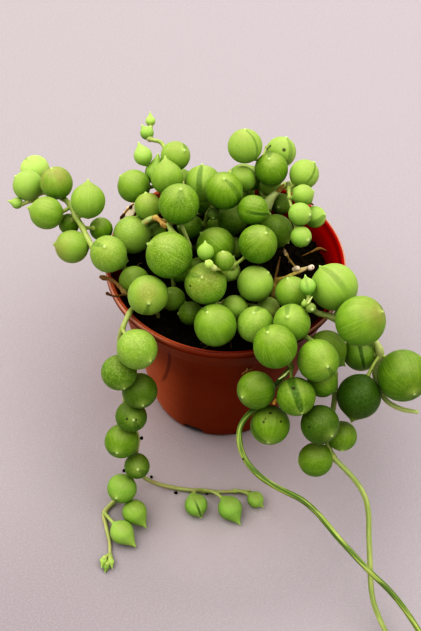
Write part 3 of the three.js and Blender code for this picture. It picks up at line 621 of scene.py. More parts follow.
def stem_path(strand, start, places, thickness):
    """A stem from fixed start points through its places. Each round, a point is its home plus its
    bend, half shared with its neighbours and a little of it let go, plus what pushes it off the
    pearls and the stems that are too near."""
    joined = np.vstack([start[-1:], places])
    count = max(FEWEST_SPANS, math.floor(curve_table(joined)[-1] / STEM_STEP + 0.5))
    path = np.vstack([start[:-1], spaced_points(joined, count)])
    home = path.copy()
    clear = thickness / 2 + GAP
    others = laid_strands != strand
    points = np.vstack([centres, laid_points[others]])
    reaches = np.concatenate([radii + np.where(strand_of == strand, 0, clear + STEM_MARGIN),
                              laid_radii[others] + clear + 2 * STEM_MARGIN])
    for _ in range(STEM_ROUNDS):
        bends = path - home
        neighbours = (np.roll(bends, 1, axis=0) + np.vstack([bends[1:], bends[-1:]])) / 2
        moved = home + (bends + (neighbours - bends) * SHARE) * RETURN
        off = moved[:, None] - points[None, :]
        distance = length_of(off)
        missing = np.maximum(reaches[None, :, None] - distance, 0)
        moved = moved + (off / distance * missing).sum(axis=1)
        moved = clear_of_pot(moved, thickness / 2, STEM_MARGIN)
        path[len(start):] = moved[len(start):]
    return path


def lay_down(strand, path, thickness):
    """Adds a finished stem, a point per millimetre, to what later stems keep clear of."""
    global laid_points, laid_radii, laid_strands
    fine = spaced_points(path, math.ceil(curve_table(path)[-1]))
    laid_points = np.vstack([laid_points, fine])
    laid_radii = np.concatenate([laid_radii, np.full(len(fine), thickness / 2)])
    laid_strands = np.concatenate([laid_strands, np.full(len(fine), strand, dtype=object)])


def root_points(x, y):
    """The straight piece of a stem that stands in the soil."""
    heights = (SOIL_TOP - ROOT_DEPTH, SOIL_TOP - ROOT_DEPTH / 2, ROOT_TOP)
    return np.array([[x, y, height] for height in heights])


def grown_paths(strand, data, thickness):
    """The paths of a stem and, where it has one, of its branch, which leaves it at the point
    nearest to the branch's first place."""
    main = stem_path(strand, root_points(*data["root"]), seen_at(data["stem"]), thickness)
    lay_down(strand, main, thickness)
    if "branch" not in data:
        return [main]
    joint, *rest = seen_at(data["branch"])
    nearest = main[np.argmin(length_of(main - joint)[:, 0])]
    branch = stem_path(strand, nearest[None], np.array(rest), thickness)
    lay_down(strand, branch, thickness)
    return [main, branch]


stems = {strand: grown_paths(strand, data, STEM) for strand, data in STRANDS.items()}
for strand, data in unseen_stems.items():
    stems[strand] = [stem_path(strand, root_points(*data["root"]), np.array(data["path"]), STEM)]
    lay_down(strand, stems[strand][0], STEM)
dry_paths = {name: grown_paths(name, data, DRY_STEM) for name, data in DRY_STEMS.items()}
print("stem points laid:", len(laid_points))

# %% [markdown]
# Every leaf hangs on a short stalk, the petiole. It leaves the nearest place of the stem from
# which a straight run to the leaf meets nothing of another strand. A leaf whose point can't be
# seen looks straight away from its stem, as most do.

# %% Where the petioles leave
RUN_MARGIN = 0.2


def run_is_clear(strand, start, end):
    """Whether the straight run from start to end stays off all pearls and stems of others: the
    nearest place of the run to each of their points is further away than both are thick."""
    others = np.vstack([centres[strand_of != strand], laid_points[laid_strands != strand]])
    thick = np.concatenate([radii[strand_of != strand], laid_radii[laid_strands != strand]])
    run = end - start
    part = np.clip((others - start) @ run / (run @ run), 0, 1)
    distance = np.linalg.norm(start + part[:, None] * run - others, axis=1)
    return bool(np.all(distance >= thick + PETIOLE / 2 + RUN_MARGIN))


for leaf in leaves:
    starts = np.vstack([path[2:] for path in stems[leaf.strand]])
    wanted = leaf.centre if leaf.joint is None else leaf.joint
    starts = starts[np.argsort(length_of(starts - wanted)[:, 0], kind="stable")]
    open_starts = [s for s in starts if run_is_clear(leaf.strand, s, leaf.centre)]
    leaf.start = open_starts[0] if open_starts else starts[0]
    leaf.away = unit(leaf.centre - leaf.start)
    if leaf.way is None:
        leaf.way = leaf.away
lengths = [np.linalg.norm(leaf.centre - leaf.start) - leaf.radius for leaf in leaves]
print("petioles in mm, from", round(min(lengths), 2), "to", round(max(lengths), 2))

# %% [markdown]
# ## From arrays to meshes
#
# All new surfaces are rings of points, closed by a single point at either end. One function
# numbers their faces and one puts arrays into a mesh, with named values on the points that the
# materials can read.

# %% Rings to faces
def skin(rings, around, count=1):
    """Faces of count like surfaces: four-sided ones between neighbouring rings and a fan of
    three-sided ones at each end. A surface's points are its rings, then its two end points."""
    step = np.arange(around)
    following = (step + 1) % around
    ring = (np.arange(rings - 1) * around)[:, None]
    quads = np.stack([ring + step, ring + following, ring + around + following,
                      ring + around + step], axis=-1).reshape(-1, 4)
    last_ring = (rings - 1) * around
    first_fan = np.stack([np.full(around, rings * around), following, step], axis=-1)
    last_fan = np.stack([np.full(around, rings * around + 1), last_ring + step,
                         last_ring + following], axis=-1)
    triangles = np.vstack([first_fan, last_fan])
    shift = (np.arange(count) * (rings * around + 2))[:, None, None]
    return (quads + shift).reshape(-1, 4), (triangles + shift).reshape(-1, 3)


def with_ends(rings, first, last):
    """The points of ringed surfaces, [surface, ring, point, 3], with their end points added."""
    count = len(rings)
    flat = rings.reshape(count, -1, rings.shape[-1])
    return np.concatenate([flat, first[:, None], last[:, None]], axis=1)


def join(parts):
    """Several (points, quads, triangles) as one, with the face numbers moved on."""
    points, quads, triangles, total = [], [], [], 0
    for some_points, some_quads, some_triangles in parts:
        points.append(some_points)
        quads.append(some_quads + total)
        triangles.append(some_triangles + total)
        total += len(some_points)
    return np.vstack(points), np.vstack(quads), np.vstack(triangles)


def new_piece(name, points, quads, triangles, material, values=None):
    """A mesh object at the origin from points in mm, its faces and its point values."""
    mesh = bpy.data.meshes.new(name)
    mesh.vertices.add(len(points))
    mesh.vertices.foreach_set("co", (points * METRES).astype(np.float32).ravel())
    corners = np.concatenate([quads.ravel(), triangles.ravel()]).astype(np.int32)
    starts = np.concatenate([np.arange(len(quads)) * 4, quads.size + np.arange(len(triangles)) * 3])
    mesh.loops.add(len(corners))
    mesh.loops.foreach_set("vertex_index", corners)
    mesh.polygons.add(len(starts))
    mesh.polygons.foreach_set("loop_start", starts.astype(np.int32))
    mesh.polygons.foreach_set("use_smooth", np.ones(len(starts), bool))
    mesh.update(calc_edges=True)
    for key, value in (values or {}).items():
        attribute = mesh.attributes.new(key, "FLOAT_VECTOR", "POINT")
        attribute.data.foreach_set("vector", value.astype(np.float32).ravel())
    mesh.materials.append(material)
    piece = bpy.data.objects.new(name, mesh)
    bpy.context.scene.collection.objects.link(piece)
    return piece


# %% Tubes along a path
FINE_STEP = 0.7
END_RING, END_RING_OUT, END_POINT_OUT = 0.75, 0.6, 0.5


def reference_for(tangents):
    """The direction, out of a few, that the path stays furthest from being parallel to."""
    tries = unit(np.array([(1, 0, 0), (0, 1, 0), (0, 0, 1), (1, 1, 0), (1, -1, 0), (1, 0, 1),
                           (1, 0, -1), (0, 1, 1), (0, 1, -1), (1, 1, 1), (1, -1, 1),
                           (-1, 1, 1), (1, 1, -1)], float))
    worst = np.abs(tangents @ tries.T).max(axis=0)
    return tries[np.argmin(worst)]


def tube(line, thick, sides):
    """A closed round tube along a line of points: at each point a ring of that radius, in the
    plane across the line, and beyond either end a smaller ring and a point."""
    tangents = unit(np.gradient(line, axis=0))
    first_out, last_out = -tangents[0] * thick[0], tangents[-1] * thick[-1]
    line = np.vstack([line[:1] + first_out * END_RING_OUT, line,
                      line[-1:] + last_out * END_RING_OUT])
    thick = np.concatenate([thick[:1] * END_RING, thick, thick[-1:] * END_RING])
    tangents = np.vstack([tangents[:1], tangents, tangents[-1:]])
    across = unit(np.cross(tangents, reference_for(tangents)))
    other = np.cross(tangents, across)
    angle = np.linspace(0, 2 * np.pi, sides, endpoint=False)[None, :, None]
    rings = line[:, None] + thick[:, None, None] * (np.cos(angle) * across[:, None]
                                                    + np.sin(angle) * other[:, None])
    first = line[:1] - tangents[:1] * thick[0] * END_POINT_OUT
    last = line[-1:] + tangents[-1:] * thick[-1] * END_POINT_OUT
    points = with_ends(rings[None], first, last)[0]
    return (points, *skin(len(line), sides))


def tube_values(along, sides, tones):
    """The named values of a tube's points: where a point is round the tube (cosine and sine) and
    along it in mm, and its tones, which are three shares a ring."""
    angle = np.linspace(0, 2 * np.pi, sides, endpoint=False)
    along = np.concatenate([along[:1], along, along[-1:]])
    place = np.stack(np.broadcast_arrays(np.cos(angle), np.sin(angle), along[:, None]), axis=-1)
    tones = np.vstack([tones[:1], tones, tones[-1:]])[:, None].repeat(sides, axis=1)
    return [with_ends(value[None], value[:1, 0], value[-1:, 0])[0] for value in (place, tones)]


def join_tubes(parts):
    """Tubes with their values, (mesh, values) each, as one mesh and one set of values."""
    place, tones = (np.vstack([values[k] for _, values in parts]) for k in (0, 1))
    return join([mesh for mesh, _ in parts]), place, tones


test_tube = tube(np.linspace((0, 0, 0), (0, 0, 9), 10), np.ones(10), 12)
print("a test tube through 10 points has", len(test_tube[1]), "four-sided faces")

# %% [markdown]
# ## Nodes for the finishes
#
# The finishes are procedural. A small helper adds a node and feeds its sockets in order, which
# keeps each finish readable as a list of steps. Effects that several finishes use are groups:
# a patchy mix of two colours, and a fine grain that roughens a surface.

# %% Node helpers
def put(tree, kind, *feeds, output=0, **settings):
    """Adds a node with its settings, links or sets its inputs in order, and returns an output."""
    made = tree.nodes.new(kind)
    for key, value in settings.items():
        setattr(made, key, value)
    for socket, feed in zip(made.inputs, feeds):
        if isinstance(feed, bpy.types.NodeSocket):
            tree.links.new(feed, socket)
        elif feed is not None:
            socket.default_value = feed
    return made.outputs[output]


def calc(tree, operation, *feeds):
    """A sum, product or other calculation on numbers."""
    return put(tree, "ShaderNodeMath", *feeds, operation=operation)


def product(tree, first, *others):
    """Two or more numbers multiplied."""
    for other in others:
        first = calc(tree, "MULTIPLY", first, other)
    return first


def stretch(tree, vector, by):
    """A vector with each of its parts multiplied by one of by."""
    return put(tree, "ShaderNodeVectorMath", vector, by, operation="MULTIPLY")


def reach_of(tree, vector):
    """The length of a vector."""
    return put(tree, "ShaderNodeVectorMath", vector, operation="LENGTH", output=1)


def parts_of(tree, vector):
    """The three parts of a vector."""
    split = tree.nodes.new("ShaderNodeSeparateXYZ")
    tree.links.new(vector, split.inputs[0])
    return split.outputs


def noise(tree, place, scale, detail=3.0):
    """Cloudy noise from 0 to 1, with about scale clouds in a unit of the place and finer ones in
    them."""
    return put(tree, "ShaderNodeTexNoise", place, None, scale, detail)


def colour_mix(tree, share, first, second):
    """first turned into second by a share."""
    made = tree.nodes.new("ShaderNodeMix")
    made.data_type = "RGBA"
    for socket, feed in ((made.inputs[0], share), (made.inputs[6], first), (made.inputs[7], second)):
        if isinstance(feed, bpy.types.NodeSocket):
            tree.links.new(feed, socket)
        else:
            socket.default_value = feed
    return made.outputs[2]


def layered(tree, colour, *layers):
    """A colour with layers over it, one after the other, each given as its share and colour."""
    for share, layer in layers:
        colour = colour_mix(tree, share, colour, layer)
    return colour


def rise_between(tree, value, ends):
    """A soft step from 0 at the first of two ends to 1 at the second, which may be the lower."""
    return put(tree, "ShaderNodeMapRange", value, *ends, 0.0, 1.0, interpolation_type="SMOOTHSTEP")


def rise_in_mm(tree, metres, ends):
    """A soft step on a value in metres between two ends in mm."""
    return rise_between(tree, metres, [end * METRES for end in ends])


def point_value(tree, name):
    """A named value of the mesh's points and its three parts."""
    vector = put(tree, "ShaderNodeAttribute", attribute_name=name, output=1)
    return vector, *parts_of(tree, vector)


def srgb(red, green, blue):
    """A colour as a screen shows it, 0 to 255, as light: the fraction to the power of 2.2."""
    return (*((np.array([red, green, blue]) / 255) ** 2.2), 1.0)


def new_group(name, inputs, outputs):
    """An empty node group with named inputs (name: (kind, value)) and outputs (name: kind)."""
    tree = bpy.data.node_groups.new(name, "ShaderNodeTree")
    for key, (kind, value) in inputs.items():
        socket = tree.interface.new_socket(key, in_out="INPUT", socket_type=kind)
        if value is not None:
            socket.default_value = value
    for key, kind in outputs.items():
        tree.interface.new_socket(key, in_out="OUTPUT", socket_type=kind)
    return tree, tree.nodes.new("NodeGroupInput"), tree.nodes.new("NodeGroupOutput")


def use_group(tree, group, **feeds):
    """A group placed in a tree, fed by socket names with spaces written as underscores."""
    made = tree.nodes.new("ShaderNodeGroup")
    made.node_tree = group
    for key, feed in feeds.items():
        socket = made.inputs[key.replace("_", " ")]
        if isinstance(feed, bpy.types.NodeSocket):
            tree.links.new(feed, socket)
        else:
            socket.default_value = feed
    return made.outputs[0]


def new_material(name):
    """A material with a Principled shader. Returns it with its tree, the shader's inputs and the
    places on the object in metres."""
    material = bpy.data.materials.new(name)
    material.use_nodes = True
    tree = material.node_tree
    shader = tree.nodes["Principled BSDF"].inputs
    return material, tree, shader, put(tree, "ShaderNodeTexCoord", output=3)


def set_plain(inputs, **values):
    """Sets inputs that are the same all over, by names with spaces written as underscores."""
    for key, value in values.items():
        inputs[key.replace("_", " ")].default_value = value


FLOAT, COLOUR, VECTOR = "NodeSocketFloat", "NodeSocketColor", "NodeSocketVector"

# %% Shared effects
patches, given, result = new_group(
    "patches",
    {"Place": (VECTOR, None), "Scale": (FLOAT, 300.0), "Softness": (FLOAT, 0.2),
     "First": (COLOUR, None), "Second": (COLOUR, None)},
    {"Colour": COLOUR})
spread = noise(patches, given.outputs["Place"], given.outputs["Scale"], 4.0)
low = calc(patches, "SUBTRACT", 0.5, given.outputs["Softness"])
high = calc(patches, "ADD", 0.5, given.outputs["Softness"])
share = rise_between(patches, spread, (low, high))
patches.links.new(colour_mix(patches, share, given.outputs["First"], given.outputs["Second"]),
                  result.inputs["Colour"])

grain, given, result = new_group(
    "grain",
    {"Place": (VECTOR, None), "Scale": (FLOAT, 2000.0), "Amount": (FLOAT, 1.0)},
    {"Height": FLOAT})
coarse = noise(grain, given.outputs["Place"], given.outputs["Scale"])
grain.links.new(product(grain, coarse, given.outputs["Amount"]), result.inputs["Height"])


def bump(tree, shader, height, strength, depth):
    """Gives the shader a bumpy surface from a height, with its depth in metres."""
    made = tree.nodes.new("ShaderNodeBump")
    made.inputs["Strength"].default_value = strength
    made.inputs["Distance"].default_value = depth
    tree.links.new(height, made.inputs["Height"])
    tree.links.new(made.outputs[0], shader["Normal"])


print("groups:", [group.name for group in bpy.data.node_groups])

# %% [markdown]
# ## The finish of a leaf
#
# A pearl is a water store behind a waxy skin: fresh green, paler towards its point, with faint
# lines from base to point, white specks of wax, a pale nib, and a dark slit that lets light in.
# The finish reads values that the mesh carries, such as the distance from the point, so each
# effect stays on its own leaf, whichever way the leaf is turned. Light and shade are painted on
# too: the parts of a leaf that face up are paler, a painted light with a little waxy bloom, and
# the parts that face down are a deeper green, a painted shade. No two pearls in the photo are
# equally green, so many have a tone of their own, set against the photo. Below 0 a leaf is mixed
# with a pale green, above 0 with a dark one. A tone is partly the leaf's own green, and partly
# painted light where it is below 0 and painted shade where it is above 0, for how much light the
# leaf gets where it lies.

# %% Leaf colours
LEAF_LIT = srgb(119, 149, 34)
LEAF_DEEP = srgb(99, 131, 15)
# Painted shade, for the parts of a leaf that face down.
LEAF_PAINTED_UNDERSIDE_SHADE = srgb(76, 126, 4)
LEAF_LIGHT = srgb(180, 204, 116)
LEAF_SHADE = srgb(44, 74, 2)
# Painted light with a little waxy bloom, for the parts of a leaf that face up.
LEAF_BLOOM_AND_TOP_LIGHT = srgb(138, 150, 86)
LEAF_PALE = srgb(164, 182, 104)
LEAF_YOUNG = srgb(148, 184, 94)
LEAF_WINDOW = srgb(56, 92, 14)
LEAF_TIP = srgb(181, 197, 138)
LEAF_BROWN = srgb(140, 112, 74)
LEAF_SCAR = srgb(56, 52, 22)
LEAF_WAX = srgb(206, 214, 172)
# The ends that an effect rises between: how far the skin looks up, distances in mm, or noise.
LEAF_ENDS = dict(
    under=(0.85, -0.55), bloom_and_top_light=(0.65, 1.0), lines=(0.45, 0.75), near_tip=(2.6, 0.5),
    rings=(3.4, 0.8), brown=(0.25, 0.65), brown_near=(7.0, 1.5), window=(0.9, 0.45),
    edge_in=(0.75, 0.95), edge_out=(1.4, 1.0), wax_dot=(0.3, 0.05), wax_patch=(0.4, 0.6),
    mealy=(0.42, 0.62), nib=(0.65, 0.2), scar=(0.38, 0.16))
# The largest share that an effect takes.
LEAF_SHARES = dict(under=0.75, lines=0.34, near_tip=0.35, window=0.8, edge=0.15, nib=0.85,
                   scar=0.85)
LEAF_SCALES = dict(patches=420.0, bloom_and_top_light=260.0, wavy=900.0, brown=240.0, wax_dot=3200.0,
                   wax_patch=330.0, mealy=2200.0, rough=700.0, grain=1600.0)
LINE_STRETCH = (34.0, 34.0, 1.2)
RING_RATE, RING_WAVE, RING_SWING, RING_MIDDLE = 9.0, 4.0, 0.16, 0.22
SLIT_FADE = 0.3
MEALY_SPECKLED, MEALY_LEAST = 0.26, 0.02
LEAF_ROUGH_SPREAD, LEAF_ROUGH_LEAST = 0.22, 0.36
SCAR_DEPTH = 1.2


def leaf_rise(value, name):
    """An effect on the leaf: the soft step of a value between its own two ends."""
    return rise_between(tree, value, LEAF_ENDS[name])


# %% Leaf skin
leaf_material, tree, shader, objects = new_material("pearl leaf")
place, _, _, from_point = point_value(tree, "leaf_place")
_, window_distance, tip_distance, slit_end = point_value(tree, "leaf_lines")
_, tone, young, browned = point_value(tree, "leaf_tone")
_, speckled, slitted, ringed = point_value(tree, "leaf_finish")
from_scar, _, _, _ = point_value(tree, "leaf_scar")

skin_colour = use_group(tree, patches, Place=objects, Scale=LEAF_SCALES["patches"], Softness=0.28,
                        First=LEAF_LIT, Second=LEAF_DEEP)
upward = parts_of(tree, put(tree, "ShaderNodeNewGeometry", output=1))[2]
# Painted shade: the parts of a leaf that face down turn a deeper green.
under = product(tree, leaf_rise(upward, "under"), LEAF_SHARES["under"])
# Painted light with a little waxy bloom: the parts that face up turn paler, in patches.
bloom_and_top_light = product(tree, leaf_rise(upward, "bloom_and_top_light"), noise(tree, objects, LEAF_SCALES["bloom_and_top_light"]))
lines = leaf_rise(noise(tree, stretch(tree, place, LINE_STRETCH), 1.0), "lines")
lines = product(tree, lines, LEAF_SHARES["lines"])
near_tip = product(tree, leaf_rise(tip_distance, "near_tip"), LEAF_SHARES["near_tip"])
# The tone mixes in a pale green below 0 and a dark green above 0: partly the leaf's own green, partly
# painted light and painted shade.
skin_colour = layered(tree, skin_colour, (young, LEAF_YOUNG), (under, LEAF_PAINTED_UNDERSIDE_SHADE),
                      (product(tree, tone, -1.0), LEAF_LIGHT), (bloom_and_top_light, LEAF_BLOOM_AND_TOP_LIGHT),
                      (lines, LEAF_PALE), (tone, LEAF_SHADE), (near_tip, LEAF_PALE))

# %% Leaf rings, brown patches and slit
scar_distance = reach_of(tree, from_scar)
wavy = noise(tree, objects, LEAF_SCALES["wavy"], 2.0)
ring_place = calc(tree, "ADD", product(tree, scar_distance, RING_RATE), product(tree, wavy, RING_WAVE))
rings = calc(tree, "MULTIPLY_ADD", calc(tree, "SINE", ring_place), RING_SWING, RING_MIDDLE)
rings = product(tree, rings, leaf_rise(scar_distance, "rings"), ringed)
brown_share = product(tree, leaf_rise(noise(tree, objects, LEAF_SCALES["brown"]), "brown"), browned,
                      leaf_rise(tip_distance, "brown_near"))

fading = rise_between(tree, from_point, (slit_end, calc(tree, "SUBTRACT", slit_end, SLIT_FADE)))
fading = product(tree, fading, slitted)
window = product(tree, leaf_rise(window_distance, "window"), fading, LEAF_SHARES["window"])
edge = product(tree, leaf_rise(window_distance, "edge_in"), leaf_rise(window_distance, "edge_out"),
               fading, LEAF_SHARES["edge"])
skin_colour = layered(tree, skin_colour, (rings, LEAF_BROWN), (brown_share, LEAF_BROWN),
                      (window, LEAF_WINDOW), (edge, LEAF_PALE))

# %% Leaf specks, nib, scars and surface
wax_cells = put(tree, "ShaderNodeTexVoronoi", objects, None, LEAF_SCALES["wax_dot"])
wax_patch = leaf_rise(noise(tree, objects, LEAF_SCALES["wax_patch"], 2.0), "wax_patch")
wax = product(tree, leaf_rise(wax_cells, "wax_dot"), wax_patch, speckled)
mealy = leaf_rise(noise(tree, objects, LEAF_SCALES["mealy"]), "mealy")
mealy = product(tree, calc(tree, "MULTIPLY_ADD", speckled, MEALY_SPECKLED, MEALY_LEAST), mealy)
nib = product(tree, leaf_rise(tip_distance, "nib"), LEAF_SHARES["nib"])
scar = calc(tree, "SUBTRACT", leaf_rise(scar_distance, "scar"), ringed)
skin_colour = layered(tree, skin_colour, (wax, LEAF_WAX), (mealy, LEAF_PALE), (nib, LEAF_TIP),
                      (product(tree, scar, LEAF_SHARES["scar"]), LEAF_SCAR))

tree.links.new(skin_colour, shader["Base Color"])
roughness = calc(tree, "MULTIPLY_ADD", noise(tree, objects, LEAF_SCALES["rough"]),
                 LEAF_ROUGH_SPREAD, LEAF_ROUGH_LEAST)
tree.links.new(roughness, shader["Roughness"])
height = use_group(tree, grain, Place=objects, Scale=LEAF_SCALES["grain"])
height = calc(tree, "SUBTRACT", height, product(tree, scar, SCAR_DEPTH))
bump(tree, shader, height, strength=0.25, depth=0.0001)
set_plain(shader, Subsurface_Weight=0.1, Subsurface_Radius=(0.5, 1.0, 0.12), Subsurface_Scale=0.001,
          Specular_IOR_Level=0.3, Sheen_Weight=0.06, Sheen_Roughness=0.5,
          Sheen_Tint=(0.85, 0.95, 0.6, 1.0))
print("nodes in the leaf finish:", len(tree.nodes))

# %% [markdown]
# ## Pearls
#
# A leaf could be a ready-made sphere with a pulled vertex. It is a formula here: rings run from
# the base to the point, each with a height and a width. The point is a cone that touches the ball
# all round, with a thin needle on top. That gives a clean nib, and lets every leaf have its own
# length, its slit as a shallow groove and a slightly uneven round.

# %% Shape of the pearls
LEAF_RINGS = 23
LEAF_AROUND = 34
RING_CROWDING = 1.12
WAVES = 0.012, 0.008
NIB = 0.5
NIB_MOST = 0.6
NIB_WIDTH = 0.28
GROOVE_DEPTH = 0.09
GROOVE_WIDTH = 0.6
WINDOW_START = 0.2
BLUNT_REACH = 1.05
NO_SCAR = 9.0
rng = np.random.default_rng(31)


def pearl_surfaces(some):
    """Rings of pearls, [pearl, ring, point, 3]. At an angle a from the point the width is sin a,
    with a wave of one to two in a hundred round it and the slit's groove taken off. The height
    is cos a, or inside the circle where the cone touches the ball the cone's reach - slope
    sin a, plus a needle that falls off as exp of minus width squared. The base is a cone too.
    The last array is the distance from the slit's middle in mm round the leaf, taken more than
    it is near the point and the base, so that the slit starts narrow."""
    count = len(some)
    share = (np.arange(LEAF_RINGS) + 1) / (LEAF_RINGS + 1)
    angle = np.pi * (1 - share) ** RING_CROWDING
    turn = np.linspace(0, 2 * np.pi, LEAF_AROUND, endpoint=False)
    way = np.array([leaf.way for leaf in some])
    slit = np.array([leaf.slit for leaf in some])
    other = np.cross(way, slit)
    radius = np.array([leaf.radius for leaf in some])[:, None, None]
    reach = np.array([leaf.reach for leaf in some])[:, None]
    nib = np.minimum(NIB / radius[:, 0], (reach - 1) * NIB_MOST)
    cone_tip = reach - nib
    cone = cone_tip - np.sqrt(cone_tip ** 2 - 1) * np.sin(angle)
    ball = np.cos(angle)[None, :]
    needle = nib * np.exp(-(np.sin(angle) * radius[:, 0] / NIB_WIDTH) ** 2)
    height = np.where(ball > 1 / cone_tip, cone, ball) + np.where(ball > 0, needle, 0)
    base = np.array([leaf.base_reach for leaf in some])[:, None]
    base_cone = np.sqrt(base ** 2 - 1) * np.sin(angle) - base
    height = np.where(ball < -1 / base, base_cone, height)
    phase = rng.uniform(0, 2 * np.pi, (2, count, 1, 1))
    wave = WAVES[0] * np.cos(2 * turn + phase[0]) + WAVES[1] * np.cos(3 * turn + phase[1])
    sine = np.sin(angle)[None, :, None]
    width = sine * (1 + wave * sine)
    turned = np.minimum(turn, 2 * np.pi - turn)[None, None, :]
    slit_width = np.array([leaf.slit_width for leaf in some])[:, None, None]
    window = turned * radius * (WINDOW_START + (1 - WINDOW_START) * sine) / slit_width
    depth = np.array([leaf.slitted for leaf in some])[:, None, None] * GROOVE_DEPTH
    groove = depth * np.exp(-(window / GROOVE_WIDTH) ** 2) * sine
    width = width - groove / radius
    centre = np.array([leaf.centre for leaf in some])
    x = (np.cos(turn) * width * radius)[..., None] * slit[:, None, None]
    y = (np.sin(turn) * width * radius)[..., None] * other[:, None, None]
    z = (height[:, :, None] * radius)[..., None] * way[:, None, None]
    rings = centre[:, None, None] + x + y + z
    first = centre - way * radius[:, :, 0] * base
    last = centre + way * radius[:, :, 0] * reach
    return rings, first, last, angle, turn, window


def pearl_values(some, points, angle, turn, window, last):
    """The named values of the pearls' points: where on the leaf, how far in mm from the slit
    and from the point, the tone, the finish, and the way to the nearest scar in mm, divided by
    the scar's size."""
    count = len(some)
    around = np.broadcast_to(np.stack([np.cos(turn), np.sin(turn)], -1), (LEAF_RINGS, LEAF_AROUND, 2))
    along = np.broadcast_to((angle / np.pi)[:, None, None], (LEAF_RINGS, LEAF_AROUND, 1))
    place = np.concatenate([around, along], -1)[None].repeat(count, axis=0)
    ends = np.zeros((count, 3))
    place = with_ends(place, ends + (0, 0, 1), ends)
    window = with_ends(window[..., None], ends[:, :1] + NO_SCAR, ends[:, :1])
    tip = length_of(points - last[:, None])
    slit_end = np.array([leaf.slit_end for leaf in some])[:, None, None] + tip * 0
    lines = np.concatenate([window, tip, slit_end], -1)
    every = np.ones((1, points.shape[1], 1))
    tone = np.array([(leaf.tone, leaf.young, leaf.browned) for leaf in some])[:, None] * every
    finish = np.array([(leaf.speckled, leaf.slitted, leaf.ringed) for leaf in some])[:, None] * every
    scar = np.full(points.shape, NO_SCAR)
    for k, leaf in enumerate(some):
        for column, row, size in leaf.scars:
            off = points[k] - leaf.centre - facing(leaf.centre, leaf.radius, (column, row))
            off /= size
            nearer = np.linalg.norm(off, axis=1) < np.linalg.norm(scar[k], axis=1)
            scar[k][nearer] = off[nearer]
    return dict(leaf_place=place, leaf_lines=lines, leaf_tone=tone, leaf_finish=finish, leaf_scar=scar)


# %% Looks of each leaf
# What a leaf gets where its own looks say nothing. SPREAD is what chance adds at most.
SLITTED_SEEN, SLITTED_UNSEEN, SLIT_WIDTH, SLIT_END = 0.9, 0.5, 1.0, 0.72
TONE_LEAST, TONE_SPREAD = -0.1, 0.3
YOUNG_RADIUS, YOUNG_MOST = 2.6, 0.9
BASE_REACH, BASE_REACH_YOUNG = 1.03, 0.2
BROWNED_SPREAD = 0.15
SPECKLED_LEAST, SPECKLED_SPREAD = 0.15, 0.35
TO_EYE = back
for leaf in leaves:
    looks = leaf.looks
    chance = rng.uniform(0, 1, 6)
    aside = unit(np.cross(leaf.way, TO_EYE) * (chance[0] - 0.5) * 2 - TO_EYE)
    if "slit" in looks:
        aside = facing(leaf.centre, leaf.radius, looks["slit"])
    leaf.slit = unit(aside - leaf.way * np.dot(aside, leaf.way))
    leaf.slitted = looks.get("slitted", SLITTED_SEEN if "slit" in looks else SLITTED_UNSEEN)
    leaf.slit_width = looks.get("slit_width", SLIT_WIDTH)
    leaf.slit_end = looks.get("slit_end", SLIT_END)
    if "blunt" in looks:
        leaf.reach = BLUNT_REACH
    leaf.tone = looks.get("tone", TONE_LEAST + TONE_SPREAD * chance[1])
    leaf.young = looks.get("young", max(0, 1 - leaf.radius / YOUNG_RADIUS) * YOUNG_MOST)
    leaf.base_reach = BASE_REACH + BASE_REACH_YOUNG * leaf.young
    leaf.browned = looks.get("browned", BROWNED_SPREAD * chance[2] ** 3)
    leaf.speckled = looks.get("speckled", SPECKLED_LEAST + SPECKLED_SPREAD * chance[3])
    leaf.ringed = looks.get("ringed", 0.0)
    leaf.scars = looks.get("scars", [])
print("leaves with a slit in sight:", sum("slit" in leaf.looks for leaf in leaves))

# %% Make the pearls
piece_faces = {}
for strand in stems:
    some = [leaf for leaf in leaves if leaf.strand == strand]
    rings, first, last, angle, turn, window = pearl_surfaces(some)
    points = with_ends(rings, first, last)
    values = pearl_values(some, points, angle, turn, window, last)
    quads, triangles = skin(LEAF_RINGS, LEAF_AROUND, len(some))
    pearls = new_piece("pearls_" + strand, points.reshape(-1, 3), quads, triangles, leaf_material,
                       {key: value.reshape(-1, 3) for key, value in values.items()})
    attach(pearls, "root")
    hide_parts("strand_" + strand)
    piece_faces[pearls.name] = len(quads) + len(triangles)
print("faces of pearls:", sum(piece_faces.values()))

# %% [markdown]
# ## Stems and petioles
#
# Stems are tubes along their paths, a little thicker where a petiole leaves and thinner towards
# the tip. A curve object with a bevel would be quicker, but its thickness follows only its
# control points, and the swellings are what makes a stem look grown.
#
# The long bare stems are deep green between lighter ribs, the others are a paler yellow-green, and
# a few turn partly beige. One finish covers them all: each ring of a tube carries the shares of
# deep, pale and beige, which change from the root to the tip.

# %% Stem finish
STEM_GREEN = srgb(138, 156, 70)
STEM_YELLOW = srgb(162, 172, 96)
STEM_DEEP = srgb(66, 98, 14)
STEM_PALE = srgb(177, 186, 130)
STEM_BEIGE = srgb(164, 154, 112)
RIB_STRETCH, RIB_ENDS = (1.8, 1.8, 0.12), (0.38, 0.54)
BLOTCH_SCALE, BLOTCH_ENDS = 380.0, (0.3, 0.6)
stem_material, tree, shader, objects = new_material("green stem")
round_place, _, _, _ = point_value(tree, "stem_place")
_, deep, pale, beige = point_value(tree, "stem_tone")
stem_colour = use_group(tree, patches, Place=objects, Scale=260.0, Softness=0.2,
                        First=STEM_GREEN, Second=STEM_YELLOW)
ribs = noise(tree, stretch(tree, round_place, RIB_STRETCH), 1.0, 2.0)
ribs = product(tree, rise_between(tree, ribs, RIB_ENDS), deep)
blotch = rise_between(tree, noise(tree, objects, BLOTCH_SCALE), BLOTCH_ENDS)
